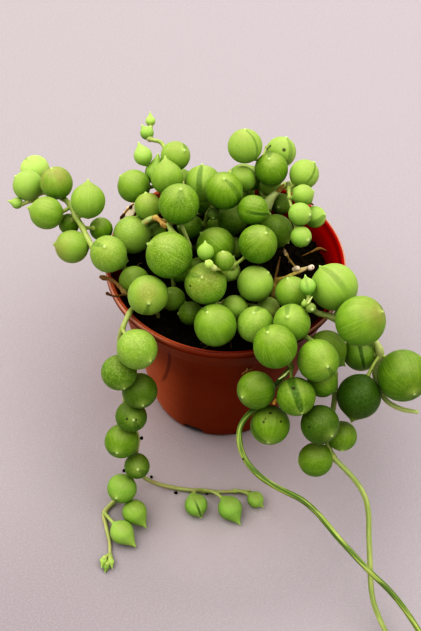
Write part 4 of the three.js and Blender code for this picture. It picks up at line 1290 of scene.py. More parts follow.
stem_colour = layered(tree, stem_colour, (ribs, STEM_DEEP), (pale, STEM_PALE),
                      (product(tree, blotch, beige), STEM_BEIGE))
tree.links.new(stem_colour, shader["Base Color"])
bump(tree, shader, use_group(tree, grain, Place=objects, Scale=1800.0), strength=0.4, depth=0.0001)
set_plain(shader, Roughness=0.5, Subsurface_Weight=0.15, Subsurface_Radius=(0.6, 1.0, 0.2),
          Subsurface_Scale=0.0008)
print("nodes in the stem finish:", len(tree.nodes))

# %% Shape of the stems
STEM_AROUND = 14
PETIOLE_AROUND = 10
KNOT = 0.12
KNOT_LENGTH = 0.9
OLD_KNOT = 0.42
OLD_KNOT_REACH = 1.5
TAPER_LENGTH = 14
TAPER_END = 0.62
TAPER_POWER = 0.7
PETIOLE_THIN = 0.4
FLARE = 0.28
FLARE_LENGTH = 0.55
PETIOLE_POINTS = 12
PETIOLE_BEND = 0.45
INTO_PEARL = 0.25
ENTRY_TURN, ENTRY_TURN_YOUNG = 0.45, 2


def nearest_of(line, places):
    """The distance from each point of the line to the nearest of some places, in mm."""
    far = np.full(len(line), NO_SCAR)
    return np.min([far, *(length_of(line - place)[:, 0] for place in places)], axis=0)


def stem_tube(path, thickness, knots, old_knots, first_tone, last_tone):
    """A tube along the path. Its radius is half the thickness, times a taper over the last
    stretch, plus a bell-shaped swelling at every knot: exp of minus distance squared. The tone
    runs evenly from the first to the last, and is beige round an old knot."""
    length = curve_table(path)[-1]
    line = spaced_points(path, math.ceil(length / FINE_STEP))
    left = np.linspace(length, 0, len(line))
    taper = TAPER_END + (1 - TAPER_END) * np.clip(left / TAPER_LENGTH, 0, 1) ** TAPER_POWER
    thick = thickness / 2 * taper + KNOT * np.exp(-(nearest_of(line, knots) / KNOT_LENGTH) ** 2)
    old = np.exp(-(nearest_of(line, old_knots) / OLD_KNOT_REACH) ** 2)
    tones = np.linspace(first_tone, last_tone, len(line))
    tones[:, 2] = np.maximum(tones[:, 2], old)
    values = tube_values(length - left, STEM_AROUND, tones)
    return tube(line, thick + OLD_KNOT * old ** 2, STEM_AROUND), values


def petiole_tube(leaf, tone):
    """A tube from the stem into the leaf along a curve with one control point: the weights are
    (1 - t) squared, 2 t (1 - t) and t squared. It enters between the straight way and the way
    that the leaf looks, and its radius flares at either end."""
    enter = leaf.away
    if np.dot(leaf.away, leaf.way) > 0:
        enter = unit(leaf.away + (ENTRY_TURN + ENTRY_TURN_YOUNG * leaf.young) * leaf.way)
    end = leaf.centre - enter * (leaf.radius - INTO_PEARL)
    reach = np.linalg.norm(end - leaf.start)
    control = end - enter * reach * PETIOLE_BEND
    t = np.linspace(0, 1, PETIOLE_POINTS)[:, None]
    line = (1 - t) ** 2 * leaf.start + 2 * t * (1 - t) * control + t ** 2 * end
    left = reach * t[:, 0]
    flare = FLARE * (np.exp(-(left / FLARE_LENGTH) ** 2)
                     + np.exp(-((reach - left) / FLARE_LENGTH) ** 2))
    values = tube_values(left, PETIOLE_AROUND, np.tile(tone, (len(line), 1)))
    return tube(line, PETIOLE_THIN + flare, PETIOLE_AROUND), values


def stalk(places, thick, tone, sides=PETIOLE_AROUND):
    """A tube through a few places that are seen. Its thicknesses in mm are spread evenly along
    it, and its tone is the same all over."""
    line = spaced_points(seen_at(places), PETIOLE_POINTS)
    along = np.linspace(0, curve_table(line)[-1], len(line))
    radius = np.interp(np.linspace(0, 1, len(line)), np.linspace(0, 1, len(thick)), thick) / 2
    return tube(line, radius, sides), tube_values(along, sides, np.tile(tone, (len(line), 1)))


# %% Looks of the stems
BRANCH_THIN = 0.9
BRANCH_TONE = (0.0, 0.5, 0.6)
PETIOLE_PALE, PETIOLE_PALE_YOUNG = 0.15, 0.4
# A stem's thickness in mm, and its shares of deep, pale and beige at the root and at the tip.
PLAIN_STEM = (1.1, (0.3, 0.1, 0.0), (0.1, 0.3, 0.0))
STEM_LOOKS = {
    "left": (1.25, (0.0, 0.3, 0.0), (0.0, 0.5, 0.0)),
    "upper_right": (0.95, (0.0, 0.3, 0.0), (0.0, 0.4, 0.0)),
    "trailing": (1.1, (0.0, 0.3, 0.0), (0.0, 0.4, 0.5)),
    # This stem's pale share is partly its own pale yellow-green and partly painted light, where it lies in
    # shade.
    "right": (1.35, (0.0, 0.4, 0.0), (0.0, 0.7, 0.1)),
    "long_left": (1.25, (1.0, 0.0, 0.0), (0.9, 0.1, 0.1)),
    "long_right": (1.2, (0.3, 0.3, 0.0), (0.7, 0.3, 0.1)),
    "centre": (0.9, (0.2, 0.1, 0.0), (0.0, 0.3, 0.0)),
    "front_right": (0.9, (0.2, 0.1, 0.0), (0.0, 0.3, 0.0)),
}
OLD_KNOTS = {"right": [(382, 350, 42.8)], "trailing": [(131, 470, 10)]}
# Short stalks without a leaf: places, thicknesses in mm, and the same three shares.
EXTRA_STALKS = {
    "side_left": [([(156, 217, 55.2), (149, 219.5, 55), (142, 226, 52)], (1.3, 1.5, 2.6), (0, 0.7, 0))],
    "middle": [([(179, 220, 59), (183, 229, 57), (190, 246, 53)], (1.2, 0.95, 1.0), (0, 0.7, 0))],
    "inner_left": [([(168, 224, 58.5), (171, 230, 58.5), (174, 238, 58)], (0.9, 1.4, 2.8), (0, 0.35, 0))],
    # This stalk's full pale share is partly its own pale green and partly painted light, where it lies in
    # shade.
    "back_right": [([(281, 189, 56.5), (273, 196, 55.5), (266, 206, 53)], (0.8, 1.8, 3.0), (0, 1, 0))],
    "front_right": [([(308, 303.5, 57), (312, 297, 57.5)], (0.5, 0.35), (0, 0.6, 0))],
    "long_left": [([(279, 379, 47), (284, 375.5, 47.5), (288.5, 371, 47.5)], (0.35, 0.5, 0.3), (0, 1, 0))],
}

# %% Make the stems
for strand, paths in stems.items():
    some = [leaf for leaf in leaves if leaf.strand == strand]
    thickness, *tones = STEM_LOOKS.get(strand, PLAIN_STEM)
    knots = [leaf.start for leaf in some]
    old_knots = seen_at(OLD_KNOTS[strand]) if strand in OLD_KNOTS else []
    parts = [stem_tube(paths[0], thickness, knots, old_knots, *tones)]
    for path in paths[1:]:
        parts.append(stem_tube(path, thickness * BRANCH_THIN, knots, [], BRANCH_TONE, BRANCH_TONE))
    parts += [petiole_tube(leaf, (0, PETIOLE_PALE + PETIOLE_PALE_YOUNG * leaf.young, 0)) for leaf in some]
    parts += [stalk(*one) for one in EXTRA_STALKS.get(strand, [])]
    mesh, place, tones = join_tubes(parts)
    stem = new_piece("stem_" + strand, *mesh, stem_material, dict(stem_place=place, stem_tone=tones))
    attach(stem, "root")
    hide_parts("strand_" + strand)
print("stems made:", len(stems))

# %% [markdown]
# ## Dry stems
#
# A few old stems have dried to thin brown sticks with knobs where leaves fell off. They are the
# same tubes with stronger swellings and a straw finish, from pale straw to dark or orange brown.
# Bits of roots, broken stalks and what looks like a papery scrap lie among the leaves.

# %% Dry stem finish
DRY_LIGHT = srgb(200, 190, 112)
DRY_MIDDLE = srgb(158, 138, 70)
DRY_DARK = srgb(84, 54, 35)
DRY_ORANGE = srgb(182, 130, 58)
DRY_CUT = srgb(226, 212, 192)
dry_material, tree, shader, objects = new_material("dry stem")
_, dark, orange, bleached = point_value(tree, "dry_tone")
dry_colour = use_group(tree, patches, Place=objects, Scale=500.0, Softness=0.15,
                       First=DRY_LIGHT, Second=DRY_MIDDLE)
dry_colour = layered(tree, dry_colour, (dark, DRY_DARK), (orange, DRY_ORANGE), (bleached, DRY_CUT))
tree.links.new(dry_colour, shader["Base Color"])
bump(tree, shader, use_group(tree, grain, Place=objects, Scale=1500.0), strength=0.8, depth=0.0003)
set_plain(shader, Roughness=0.85)
print("nodes in the dry finish:", len(tree.nodes))

# %% Dry stems
DRY_KNOB_STEP, DRY_KNOB, DRY_KNOB_POWER = 5.5, 0.22, 6
DRY_THINNING = 0.3
# The wrinkles: height in mm, turns in radians for each mm, and the turn at the root.
DRY_WRINKLES = (0.05, 2.9, 0), (0.04, 5.3, 1)
# Thickness in mm, then shares of dark, orange and bleached at even steps from the root to the
# end, for the stem and its branch.
DRY_LOOKS = {
    "dry_stem_left": [(1.1, (0.8, 0.1, 0), (0.5, 0.2, 0.1), (0.9, 0.1, 0)),
                      (0.6, (0.8, 0.1, 0), (1, 0, 0))],
    "dry_stem_back": [(0.8, (0.5, 0.3, 0), (0.1, 0.5, 0.1))],
    "dry_stem_right": [(1.3, (0.8, 0, 0), (0.7, 0, 0), (0.1, 0.2, 0), (0, 0.1, 0), (0, 0, 0.6)),
                       (0.6, (0.6, 0.1, 0), (0.3, 0.2, 0.1))],
}
# Bits that lie among the leaves: places, thickness along them, and the same three shares.
DRY_BITS = {
    "root_bits": [
        ([(302, 256, 41.3), (311, 252, 41.6), (320, 248.5, 42), (327, 251, 41.8)],
         (0.2, 0.4, 0.8, 0.3), (0.7, 0.2, 0)),
        ([(274, 284, 42.5), (277, 270, 43), (280, 257, 43)], (0.7, 0.7, 0.4), (0.8, 0.1, 0)),
        ([(284.5, 251, 46.6), (285.5, 255, 46.8)], (0.8, 0.6), (0.1, 0.3, 0.4)),
        ([(242, 374, 34.25), (246, 371, 35.6), (252, 368.5, 36.3)], (0.35, 0.5, 0.3), (0.5, 0.2, 0)),
        ([(246.5, 371, 35.65), (247.5, 368, 37.1)], (0.4, 0.3), (0.3, 0.3, 0.2)),
    ],
    "scrap_edge": [
        ([(133.5, 203.5, 46.5), (129, 208, 46.4), (124, 213.5, 46.4), (120, 219.5, 46.2)],
         (0.25, 0.4, 0.35, 0.25), (0.4, 0.6, 0)),
        ([(131, 206.5, 46.6), (130, 207.6, 46.6)], (0.7, 0.6), (1, 0, 0)),
        ([(124, 214, 46.4), (121.5, 217.5, 46.4)], (0.5, 0.8), (1, 0, 0)),
    ],
    "stalk_ends": [
        ([(278, 191, 56.8), (281, 188, 57.15), (283.5, 185, 57.3)], (0.8, 1.0, 0.5), (0.6, 0.3, 0)),
        ([(309, 203, 59.45), (313, 204.5, 58.85)], (0.5, 0.4), (0.8, 0.1, 0)),
        ([(274, 403, 41.3), (276, 400, 41.45), (278.5, 399, 40.9)], (0.9, 1.1, 0.6), (0.2, 0.6, 0)),
        ([(152.5, 217.5, 55.5), (156, 218, 56), (158, 219.5, 56), (161, 222, 56.3),
          (163, 224.5, 56.5), (167, 225, 57), (170, 225, 57.3)],
         (0.7, 1.5, 1.0, 0.9, 1.35, 0.7, 1.0), (0.15, 0.45, 0.1)),
        ([(166, 227.5, 56.5), (163, 226.5, 56.3)], (0.7, 0.5), (0.4, 0.5, 0)),
        ([(293.5, 269.5, 46.05), (297.5, 268.5, 46.45)], (1.0, 1.4), (0.1, 0.1, 0.8)),
        ([(309.5, 268, 46.0), (311.8, 267.3, 45.9)], (1.3, 1.4), (0, 0, 1)),
        ([(311.9, 267.2, 46.25), (312.3, 267.1, 46.35)], (0.5, 0.4), (1, 0, 0)),
    ],
}


def dry_tube(path, thickness, *tones):
    """A tube along the path with a knob wherever the sixth power of a cosine peaks, two short
    sine waves for the wrinkles, and a radius that falls by three tenths towards the end, knobs
    and wrinkles apart. The tones are spread evenly along it."""
    length = curve_table(path)[-1]
    line = spaced_points(path, math.ceil(length / FINE_STEP))
    along = np.linspace(0, length, len(line))
    knobs = DRY_KNOB * np.maximum(np.cos(2 * np.pi * along / DRY_KNOB_STEP), 0) ** DRY_KNOB_POWER
    rough = sum(height * np.sin(along * rate + turn) for height, rate, turn in DRY_WRINKLES)
    stops = np.linspace(0, length, len(tones))
    tones = np.stack([np.interp(along, stops, share) for share in zip(*tones)], axis=1)
    thick = thickness / 2 * (1 - DRY_THINNING * along / length) + knobs + rough
    return tube(line, thick, STEM_AROUND), tube_values(along, STEM_AROUND, tones)


for name, paths in dry_paths.items():
    mesh, place, tones = join_tubes([dry_tube(path, *look) for path, look in zip(paths, DRY_LOOKS[name])])
    dry = new_piece(name + "_bark", *mesh, dry_material, dict(dry_tone=tones))
    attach(dry, "root")
    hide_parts(name)
for name, bits in DRY_BITS.items():
    mesh, place, tones = join_tubes([stalk(*bit) for bit in bits])
    dry = new_piece(name, *mesh, dry_material, dict(dry_tone=tones))
    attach(dry, "root")
print("dry stems and bits made:", len(dry_paths) + len(DRY_BITS))

# %% [markdown]
# ## The pot
#
# A nursery pot is thin red-brown plastic: a cone with a wider band under a rolled lip, and
# notches in the foot that let water out. A profile turned round the axis gives the shell with
# its wall in one closed surface, and blocks are cut out of it for the notches.
#
# The plastic is lighter on the left, most of all low down: a painted light. The inner wall, and
# the inner side of the lip on the right, are painted red, and the inner wall has a faint glow of
# its own; both are painted light that stands in for light that comes through the thin wall. The
# lip's crests are pale in places, painted highlights, and the front of the lip is darker, a
# painted shade. A bent dark streak, a painted shadow of the trailing strand, runs down from the
# band. All of these are masks from the height, the distance from the axis and the places across
# and in front, so none of them needs a picture.

# %% Pot colours
POT_RED = srgb(130, 62, 17)
POT_DARK = srgb(119, 52, 11)
# Painted light on the left side of the plastic.
POT_PAINTED_LIGHT_LEFT = srgb(178, 98, 54)
# Painted shade, for the shadow streak on the wall and the front of the lip.
POT_PAINTED_SHADE = srgb(88, 27, 5)
# Painted light on the inner wall, for light that comes through the thin wall.
POT_INSIDE_PAINTED_LIGHT = srgb(156, 26, 12)
POT_GLOW = srgb(86, 9, 4)
# Painted highlights on the lip's outer and inner crests.
POT_PAINTED_HIGHLIGHT_OUTER = srgb(206, 160, 142)
POT_PAINTED_HIGHLIGHT_INNER = srgb(172, 106, 82)
NO_GLOW = (0.0, 0.0, 0.0, 1.0)
# The painted shadow streak: its place across, its top and its bend, in mm.
PAINTED_SHADOW_ACROSS, PAINTED_SHADOW_TOP, PAINTED_SHADOW_BEND = -11.7, 38.0, 0.0065
LEFT_SPREAD, LEFT_LEAST = 0.5, 0.45
PAINTED_SHADOW_SHARE, LIP_SIDE_SHADE_SHARE, LIP_CREST_SHADE_SHARE, INNER_HIGHLIGHT_SHARE = 0.6, 0.45, 0.85, 0.45
HIGHLIGHT_SPREAD, HIGHLIGHT_LEAST = 0.65, 0.1
SMEAR_SCALE, SMEAR_SPREAD, SMEAR_LEAST = 180.0, 0.2, 0.26
GROOVE = RIM_RADIUS - 0.6
GROOVE_HALF = 0.12
# The ends in mm that an effect rises between: places to the right, to the back or upwards, or
# distances.
POT_ENDS = dict(
    low=(36, 26), left=(-6, -15), front=(0, -10), painted_shadow_side=(0.6, 0.1), painted_shadow_foot=(18, 24),
    painted_shadow_head=(41, 39), wall_inside=(BAND_STEP, 0.8 * WALL), lip_right=(4, 16),
    crest_left=(-18, -4), inner_highlight_left=(6, -12), outer_highlight_sides=(8, 22), glow_right=(-4, 18),
    glow_front=(20, 13), glow_up=(SOIL_TOP - 1, POT_HEIGHT))
# The same, as depths in mm under the top of the rim.
RIM_ENDS = dict(
    lip_inside=(LIP_HEIGHT, LIP_HEIGHT / 2), lip_side_shade=(0.1, 0.7), lip_crest_shade=(0.7, 0.1),
    lip_foot=(LIP_HEIGHT, LIP_HEIGHT - 0.5), lip_top=(LIP_HEIGHT / 2, 0.1), glow_end=(0.4, 1.6))


def pot_rise(value, name):
    """An effect on the pot: the soft step of a value in metres between its own two ends."""
    return rise_in_mm(tree, value, POT_ENDS[name])


def rim_rise(name):
    """An effect near the rim: the soft step of the height between two depths under its top."""
    return rise_in_mm(tree, upright_axis, [POT_HEIGHT - depth for depth in RIM_ENDS[name]])


# %% Pot wall
pot_material, tree, shader, objects = new_material("pot plastic")
across, towards, upright_axis = parts_of(tree, objects)
pot_colour = use_group(tree, patches, Place=objects, Scale=60.0, Softness=0.3,
                       First=POT_RED, Second=POT_DARK)
# Painted light: the plastic turns lighter on the left, most of all low down.
low_down = calc(tree, "MULTIPLY_ADD", pot_rise(upright_axis, "low"), LEFT_SPREAD, LEFT_LEAST)
painted_light_left_share = product(tree, pot_rise(across, "left"), low_down)
# Painted shadow: a thin bent dark streak, the shadow of the trailing strand, runs down the front left of
# the wall below the band.
run = calc(tree, "SUBTRACT", upright_axis, PAINTED_SHADOW_TOP * METRES)
bend = product(tree, product(tree, run, run), PAINTED_SHADOW_BEND / METRES)
off_painted_shadow = calc(tree, "ADD", calc(tree, "SUBTRACT", across, PAINTED_SHADOW_ACROSS * METRES), bend)
off_painted_shadow = calc(tree, "ABSOLUTE", off_painted_shadow)
in_front = pot_rise(towards, "front")
painted_strand_shadow = product(tree, pot_rise(off_painted_shadow, "painted_shadow_side"), pot_rise(upright_axis, "painted_shadow_foot"),
                pot_rise(upright_axis, "painted_shadow_head"), in_front, PAINTED_SHADOW_SHARE)
pot_colour = layered(tree, pot_colour, (painted_light_left_share, POT_PAINTED_LIGHT_LEFT), (painted_strand_shadow, POT_PAINTED_SHADE))

# %% Pot lip and inner wall
out = reach_of(tree, stretch(tree, objects, (1.0, 1.0, 0.0)))
wall_slope = (wall_at(POT_HEIGHT) - BASE_RADIUS) / POT_HEIGHT
wall_out = calc(tree, "MULTIPLY_ADD", upright_axis, wall_slope, BASE_RADIUS * METRES)
inside = pot_rise(calc(tree, "SUBTRACT", wall_out, out), "wall_inside")
inner_crest, outer_crest = (rise_in_mm(tree, out, (GROOVE, GROOVE + step))
                            for step in (-GROOVE_HALF, GROOVE_HALF))
lip_inside = product(tree, inner_crest, rim_rise("lip_inside"), pot_rise(across, "lip_right"))
# Painted shade: the front of the lip turns darker below its top, and along its top except at the far left.
lip_side_shade = product(tree, rim_rise("lip_side_shade"), LIP_SIDE_SHADE_SHARE)
lip_crest_shade = product(tree, pot_rise(across, "crest_left"), rim_rise("lip_crest_shade"), LIP_CREST_SHADE_SHARE)
lip_painted_shade = calc(tree, "MAXIMUM", lip_side_shade, lip_crest_shade)
lip_painted_shade = product(tree, lip_painted_shade, in_front, rim_rise("lip_foot"))
lip_top = rim_rise("lip_top")
# Painted highlights: the inner crest turns pale on the left, the outer crest at the sides.
painted_inner_highlight = product(tree, inner_crest, pot_rise(across, "inner_highlight_left"))
painted_inner_highlight = product(tree, lip_top, painted_inner_highlight, INNER_HIGHLIGHT_SHARE)
sideways = pot_rise(calc(tree, "ABSOLUTE", across), "outer_highlight_sides")
painted_outer_highlight = product(tree, lip_top, outer_crest,
               calc(tree, "MULTIPLY_ADD", sideways, HIGHLIGHT_SPREAD, HIGHLIGHT_LEAST))
# Painted light: the inner wall, and the inner side of the lip on the right, turn red for light that comes
# through the thin wall.
red = calc(tree, "MAXIMUM", inside, lip_inside)
pot_colour = layered(tree, pot_colour, (red, POT_INSIDE_PAINTED_LIGHT), (lip_painted_shade, POT_PAINTED_SHADE), (painted_inner_highlight, POT_PAINTED_HIGHLIGHT_INNER),
                     (painted_outer_highlight, POT_PAINTED_HIGHLIGHT_OUTER))
tree.links.new(pot_colour, shader["Base Color"])

# %% Pot glow and surface
# Painted light: a faint glow of the inner wall, for light that comes through the thin wall.
glow = product(tree, pot_rise(upright_axis, "glow_up"), pot_rise(across, "glow_right"),
               pot_rise(towards, "glow_front"), rim_rise("glow_end"))
glow = colour_mix(tree, product(tree, inside, glow), NO_GLOW, POT_GLOW)
tree.links.new(glow, shader["Emission Color"])
smear = noise(tree, objects, SMEAR_SCALE)
smear = calc(tree, "MULTIPLY_ADD", smear, SMEAR_SPREAD, SMEAR_LEAST)
tree.links.new(smear, shader["Roughness"])
bump(tree, shader, use_group(tree, grain, Place=objects, Scale=400.0), strength=0.15, depth=0.0002)
set_plain(shader, Emission_Strength=1.0, Specular_IOR_Level=0.06)
print("nodes in the pot finish:", len(tree.nodes))

# %% Shape of the pot
POT_AROUND = 192
CUT = 0.3
CUT_ROUNDS = 3


def softened(profile, cut, rounds):
    """A profile with rounded corners: each round replaces a corner by two points, a cut before
    and a cut after it, at most a third of the way along, and halves the cut."""
    profile = np.asarray(profile, float)
    for k in range(rounds):
        run = np.diff(profile, axis=0)
        length = length_of(run)
        back_off = np.minimum(cut / 2 ** k, length / 3) / np.maximum(length, 1e-9)
        pair = np.stack([profile[:-1] + run * back_off, profile[1:] - run * back_off], axis=1)
        profile = np.vstack([profile[:1], pair.reshape(-1, 2), profile[-1:]])
    return profile


def turned(profile, around):
    """A profile of (radius, height) turned about the upright axis: rings of cosine and sine
    times the radius. The profile's first and last points are on the axis."""
    angle = np.linspace(0, 2 * np.pi, around, endpoint=False)
    radius, height = profile[1:-1, :1], profile[1:-1, 1:]
    rings = np.stack([radius * np.cos(angle), radius * np.sin(angle), height + 0 * angle], axis=-1)
    first, last = (np.array([[0, 0, profile[k, 1]]]) for k in (0, -1))
    return with_ends(rings[None], first, last)[0], *skin(len(rings), around)


# Corners of the profile as (radius, height): the underside and the foot, the wall, the step to
# the band, the lip with its two crests and the groove between them, and the inside.
lip = RIM_RADIUS
pot_profile = softened([
    (0, 0), (BASE_RADIUS - 0.6, 0), (BASE_RADIUS, 0.8),
    *[(wall_at(h) - BAND_STEP * h / BAND_HEIGHT, h) for h in (2.4, 4, 8, 14, 22, 30, BAND_HEIGHT)],
    (wall_at(BAND_HEIGHT), BAND_HEIGHT + 0.5), (lip - LIP_OUT, POT_HEIGHT - LIP_HEIGHT),
    (lip - 0.15, POT_HEIGHT - LIP_HEIGHT + 0.4),
    (lip, POT_HEIGHT - LIP_HEIGHT / 2), (lip - 0.15, POT_HEIGHT - 0.1), (lip - 0.4, POT_HEIGHT),
    (lip - 0.6, POT_HEIGHT - 0.22), (lip - 0.8, POT_HEIGHT), (lip - 1.1, POT_HEIGHT - 0.05),
    (lip - 1.3, POT_HEIGHT - 0.4),
    (wall_at(POT_HEIGHT - LIP_HEIGHT) - WALL, POT_HEIGHT - LIP_HEIGHT),
    (wall_at(BAND_HEIGHT) - BAND_STEP - WALL, BAND_HEIGHT),
    (BASE_RADIUS - WALL + 0.2, FLOOR), (0, FLOOR)], CUT, CUT_ROUNDS)
pot = new_piece("pot_shell", *turned(pot_profile, POT_AROUND), pot_material)

# %% Cut the notches
NOTCHES = 6
NOTCH_WIDTH, NOTCH_TOP, NOTCH_FOOT = 5.2, 3.0, -1
NOTCH_REACH, NOTCH_MIDDLE = 5.0, BASE_RADIUS - 0.4
NOTCH_TURN = 0.15
NOTCH_CORNER = 0.8


def notch_block(angle):
    """A block across the foot of the wall at an angle, with its upper corners cut off. It
    reaches below the table, so that the notch is open there."""
    half = NOTCH_WIDTH / 2
    outline = np.array([(-half, NOTCH_FOOT), (half, NOTCH_FOOT), (half, NOTCH_TOP - NOTCH_CORNER),
                        (half - NOTCH_CORNER, NOTCH_TOP), (NOTCH_CORNER - half, NOTCH_TOP),
                        (-half, NOTCH_TOP - NOTCH_CORNER)])
    out = NOTCH_MIDDLE + NOTCH_REACH * np.array([-0.5, 0.5])
    rings = np.array([[(x, y, z) for y, z in outline] for x in out])
    ends = np.array([[(out[0], 0, 0.5)], [(out[1], 0, 0.5)]])
    points = with_ends(rings[None], ends[0], ends[1])[0]
    cosine, sine = math.cos(angle), math.sin(angle)
    spin = np.array([(cosine, sine, 0), (-sine, cosine, 0), (0, 0, 1)])
    return (points @ spin, *skin(2, len(outline)))


blocks = [notch_block(2 * math.pi * (k + NOTCH_TURN) / NOTCHES) for k in range(NOTCHES)]
cutter = new_piece("notch_cutter", *join(blocks), pot_material)
cut = pot.modifiers.new("notches", "BOOLEAN")
cut.object = cutter
cut.operation = "DIFFERENCE"
cut.solver = "EXACT"
bpy.context.view_layer.update()
evaluated = pot.evaluated_get(bpy.context.evaluated_depsgraph_get())
cut_mesh = bpy.data.meshes.new_from_object(evaluated)
pot.modifiers.clear()
pot.data = cut_mesh
bpy.data.objects.remove(cutter)
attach(pot, "root")
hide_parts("pot")
print("faces of the pot:", len(pot.data.polygons))

# %% [markdown]
# ## Soil
#
# Peat is nearly black, with fine crumbs and a few pale fibres. The surface is a turned profile
# with hills from a sum of waves. Crumbs and fibres are separate small closed shapes on it, since
# a bump alone would look flat from the side.

# %% Soil finish
SOIL_DARK = srgb(32, 31, 21)
SOIL_BROWN = srgb(52, 45, 29)
soil_material, tree, shader, objects = new_material("potting soil")
soil_colour = use_group(tree, patches, Place=objects, Scale=700.0, Softness=0.12,
                        First=SOIL_DARK, Second=SOIL_BROWN)
tree.links.new(soil_colour, shader["Base Color"])
bump(tree, shader, use_group(tree, grain, Place=objects, Scale=1400.0), strength=1.0, depth=0.0006)
set_plain(shader, Roughness=0.95, Specular_IOR_Level=0.1)
print("nodes in the soil finish:", len(tree.nodes))

# %% Soil surface
SOIL_AROUND = 128
SOIL_TOP_RINGS = 44
soil_edge = wall_at(SOIL_TOP + 1) - BAND_STEP - WALL - 0.25


def soil_height(x, y):
    """Low hills: products and sums of sines, with finer and finer ones added."""
    waves = np.sin(0.42 * x + 0.9) * np.cos(0.37 * y - 0.4) + np.sin(0.8 * x - 0.7 * y)
    fine = 0.35 * np.sin(2.1 * x + 1.3 * y) * np.sin(1.7 * y - 0.6 * x + 1)
    fine = fine + 0.2 * np.sin(3.7 * x) * np.cos(4.1 * y + 2)
    return SOIL_TOP + SOIL_RELIEF * 0.5 * waves + 0.3 * fine


rows = np.linspace(soil_edge, 0.4, SOIL_TOP_RINGS)
soil_profile = np.vstack([[(0, FLOOR + 0.1), (BASE_RADIUS - WALL - 0.2, FLOOR + 0.1),
                           (soil_edge, SOIL_TOP - 2)],
                          np.stack([rows, np.full(len(rows), SOIL_TOP)], axis=1), [(0, SOIL_TOP)]])
points, quads, triangles = turned(soil_profile, SOIL_AROUND)
upper = points[:, 2] > SOIL_TOP - 1
points[upper, 2] = soil_height(points[upper, 0], points[upper, 1])
soil = new_piece("soil_surface", points, quads, triangles, soil_material)
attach(soil, "root")
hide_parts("soil")
print("faces of the soil:", len(quads) + len(triangles))

# %% Crumbs
CRUMBS = 420
CRUMB_RINGS, CRUMB_AROUND = 3, 7
CRUMB_AREA = 0.97
CRUMB_LEAST, CRUMB_SPREAD, CRUMB_POWER = 0.22, 0.55, 2.5
CRUMB_LIFT = 0.3
FALLEN_CRUMBS = [(124, 470.5, 0.3), (151.5, 477, 0.25), (176, 492.5, 0.3), (207, 493.5, 0.3),
                 (141.5, 438, 17.4), (243, 459, 32.95)]
FALLEN_SIZES = [0.4, 0.35, 0.45, 0.35, 0.45, 0.22]
SCRAP = [(135, 205, 46.25), (132, 209, 46.15), (129, 213.5, 46.15), (126, 218, 46.05)]
SCRAP_SIZES = [1.1, 1.5, 1.5, 1.2]
SCRAP_TONE = (0.05, 0.0, 0.8)


def lumps(places, sizes, flat=0.75, least=0.65, most=1.25):
    """Small uneven balls: rings of sine and cosine, each point moved out or in at random."""
    angle = np.pi * (1 - (np.arange(CRUMB_RINGS) + 1) / (CRUMB_RINGS + 1))
    turn = np.linspace(0, 2 * np.pi, CRUMB_AROUND, endpoint=False)
    ball = np.stack([np.sin(angle)[:, None] * np.cos(turn), np.sin(angle)[:, None] * np.sin(turn),
                     flat * np.cos(angle)[:, None] + 0 * turn], axis=-1)
    uneven = rng.uniform(least, most, (len(places), CRUMB_RINGS, CRUMB_AROUND, 1))
    rings = places[:, None, None] + ball * uneven * sizes[:, None, None, None]
    tall = sizes[:, None] * np.array([0, 0, flat])
    points = with_ends(rings, places - tall, places + tall)
    return (points.reshape(-1, 3), *skin(CRUMB_RINGS, CRUMB_AROUND, len(places)))


out = soil_edge * np.sqrt(rng.uniform(0, CRUMB_AREA, CRUMBS))
angle = rng.uniform(0, 2 * np.pi, CRUMBS)
x, y = out * np.cos(angle), out * np.sin(angle)
sizes = CRUMB_LEAST + CRUMB_SPREAD * rng.uniform(0, 1, CRUMBS) ** CRUMB_POWER
places = np.stack([x, y, soil_height(x, y) + sizes * CRUMB_LIFT], axis=1)
some_crumbs = join([lumps(places, sizes), lumps(seen_at(FALLEN_CRUMBS), np.array(FALLEN_SIZES))])
crumbs = new_piece("soil_crumbs", *some_crumbs, soil_material)
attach(crumbs, "root")
scrap_mesh = lumps(seen_at(SCRAP), np.array(SCRAP_SIZES), flat=0.12, least=0.95, most=1.05)
scrap_tone = np.tile(SCRAP_TONE, (len(scrap_mesh[0]), 1))
scrap = new_piece("papery_scrap", *scrap_mesh, dry_material, dict(dry_tone=scrap_tone))
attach(scrap, "root")

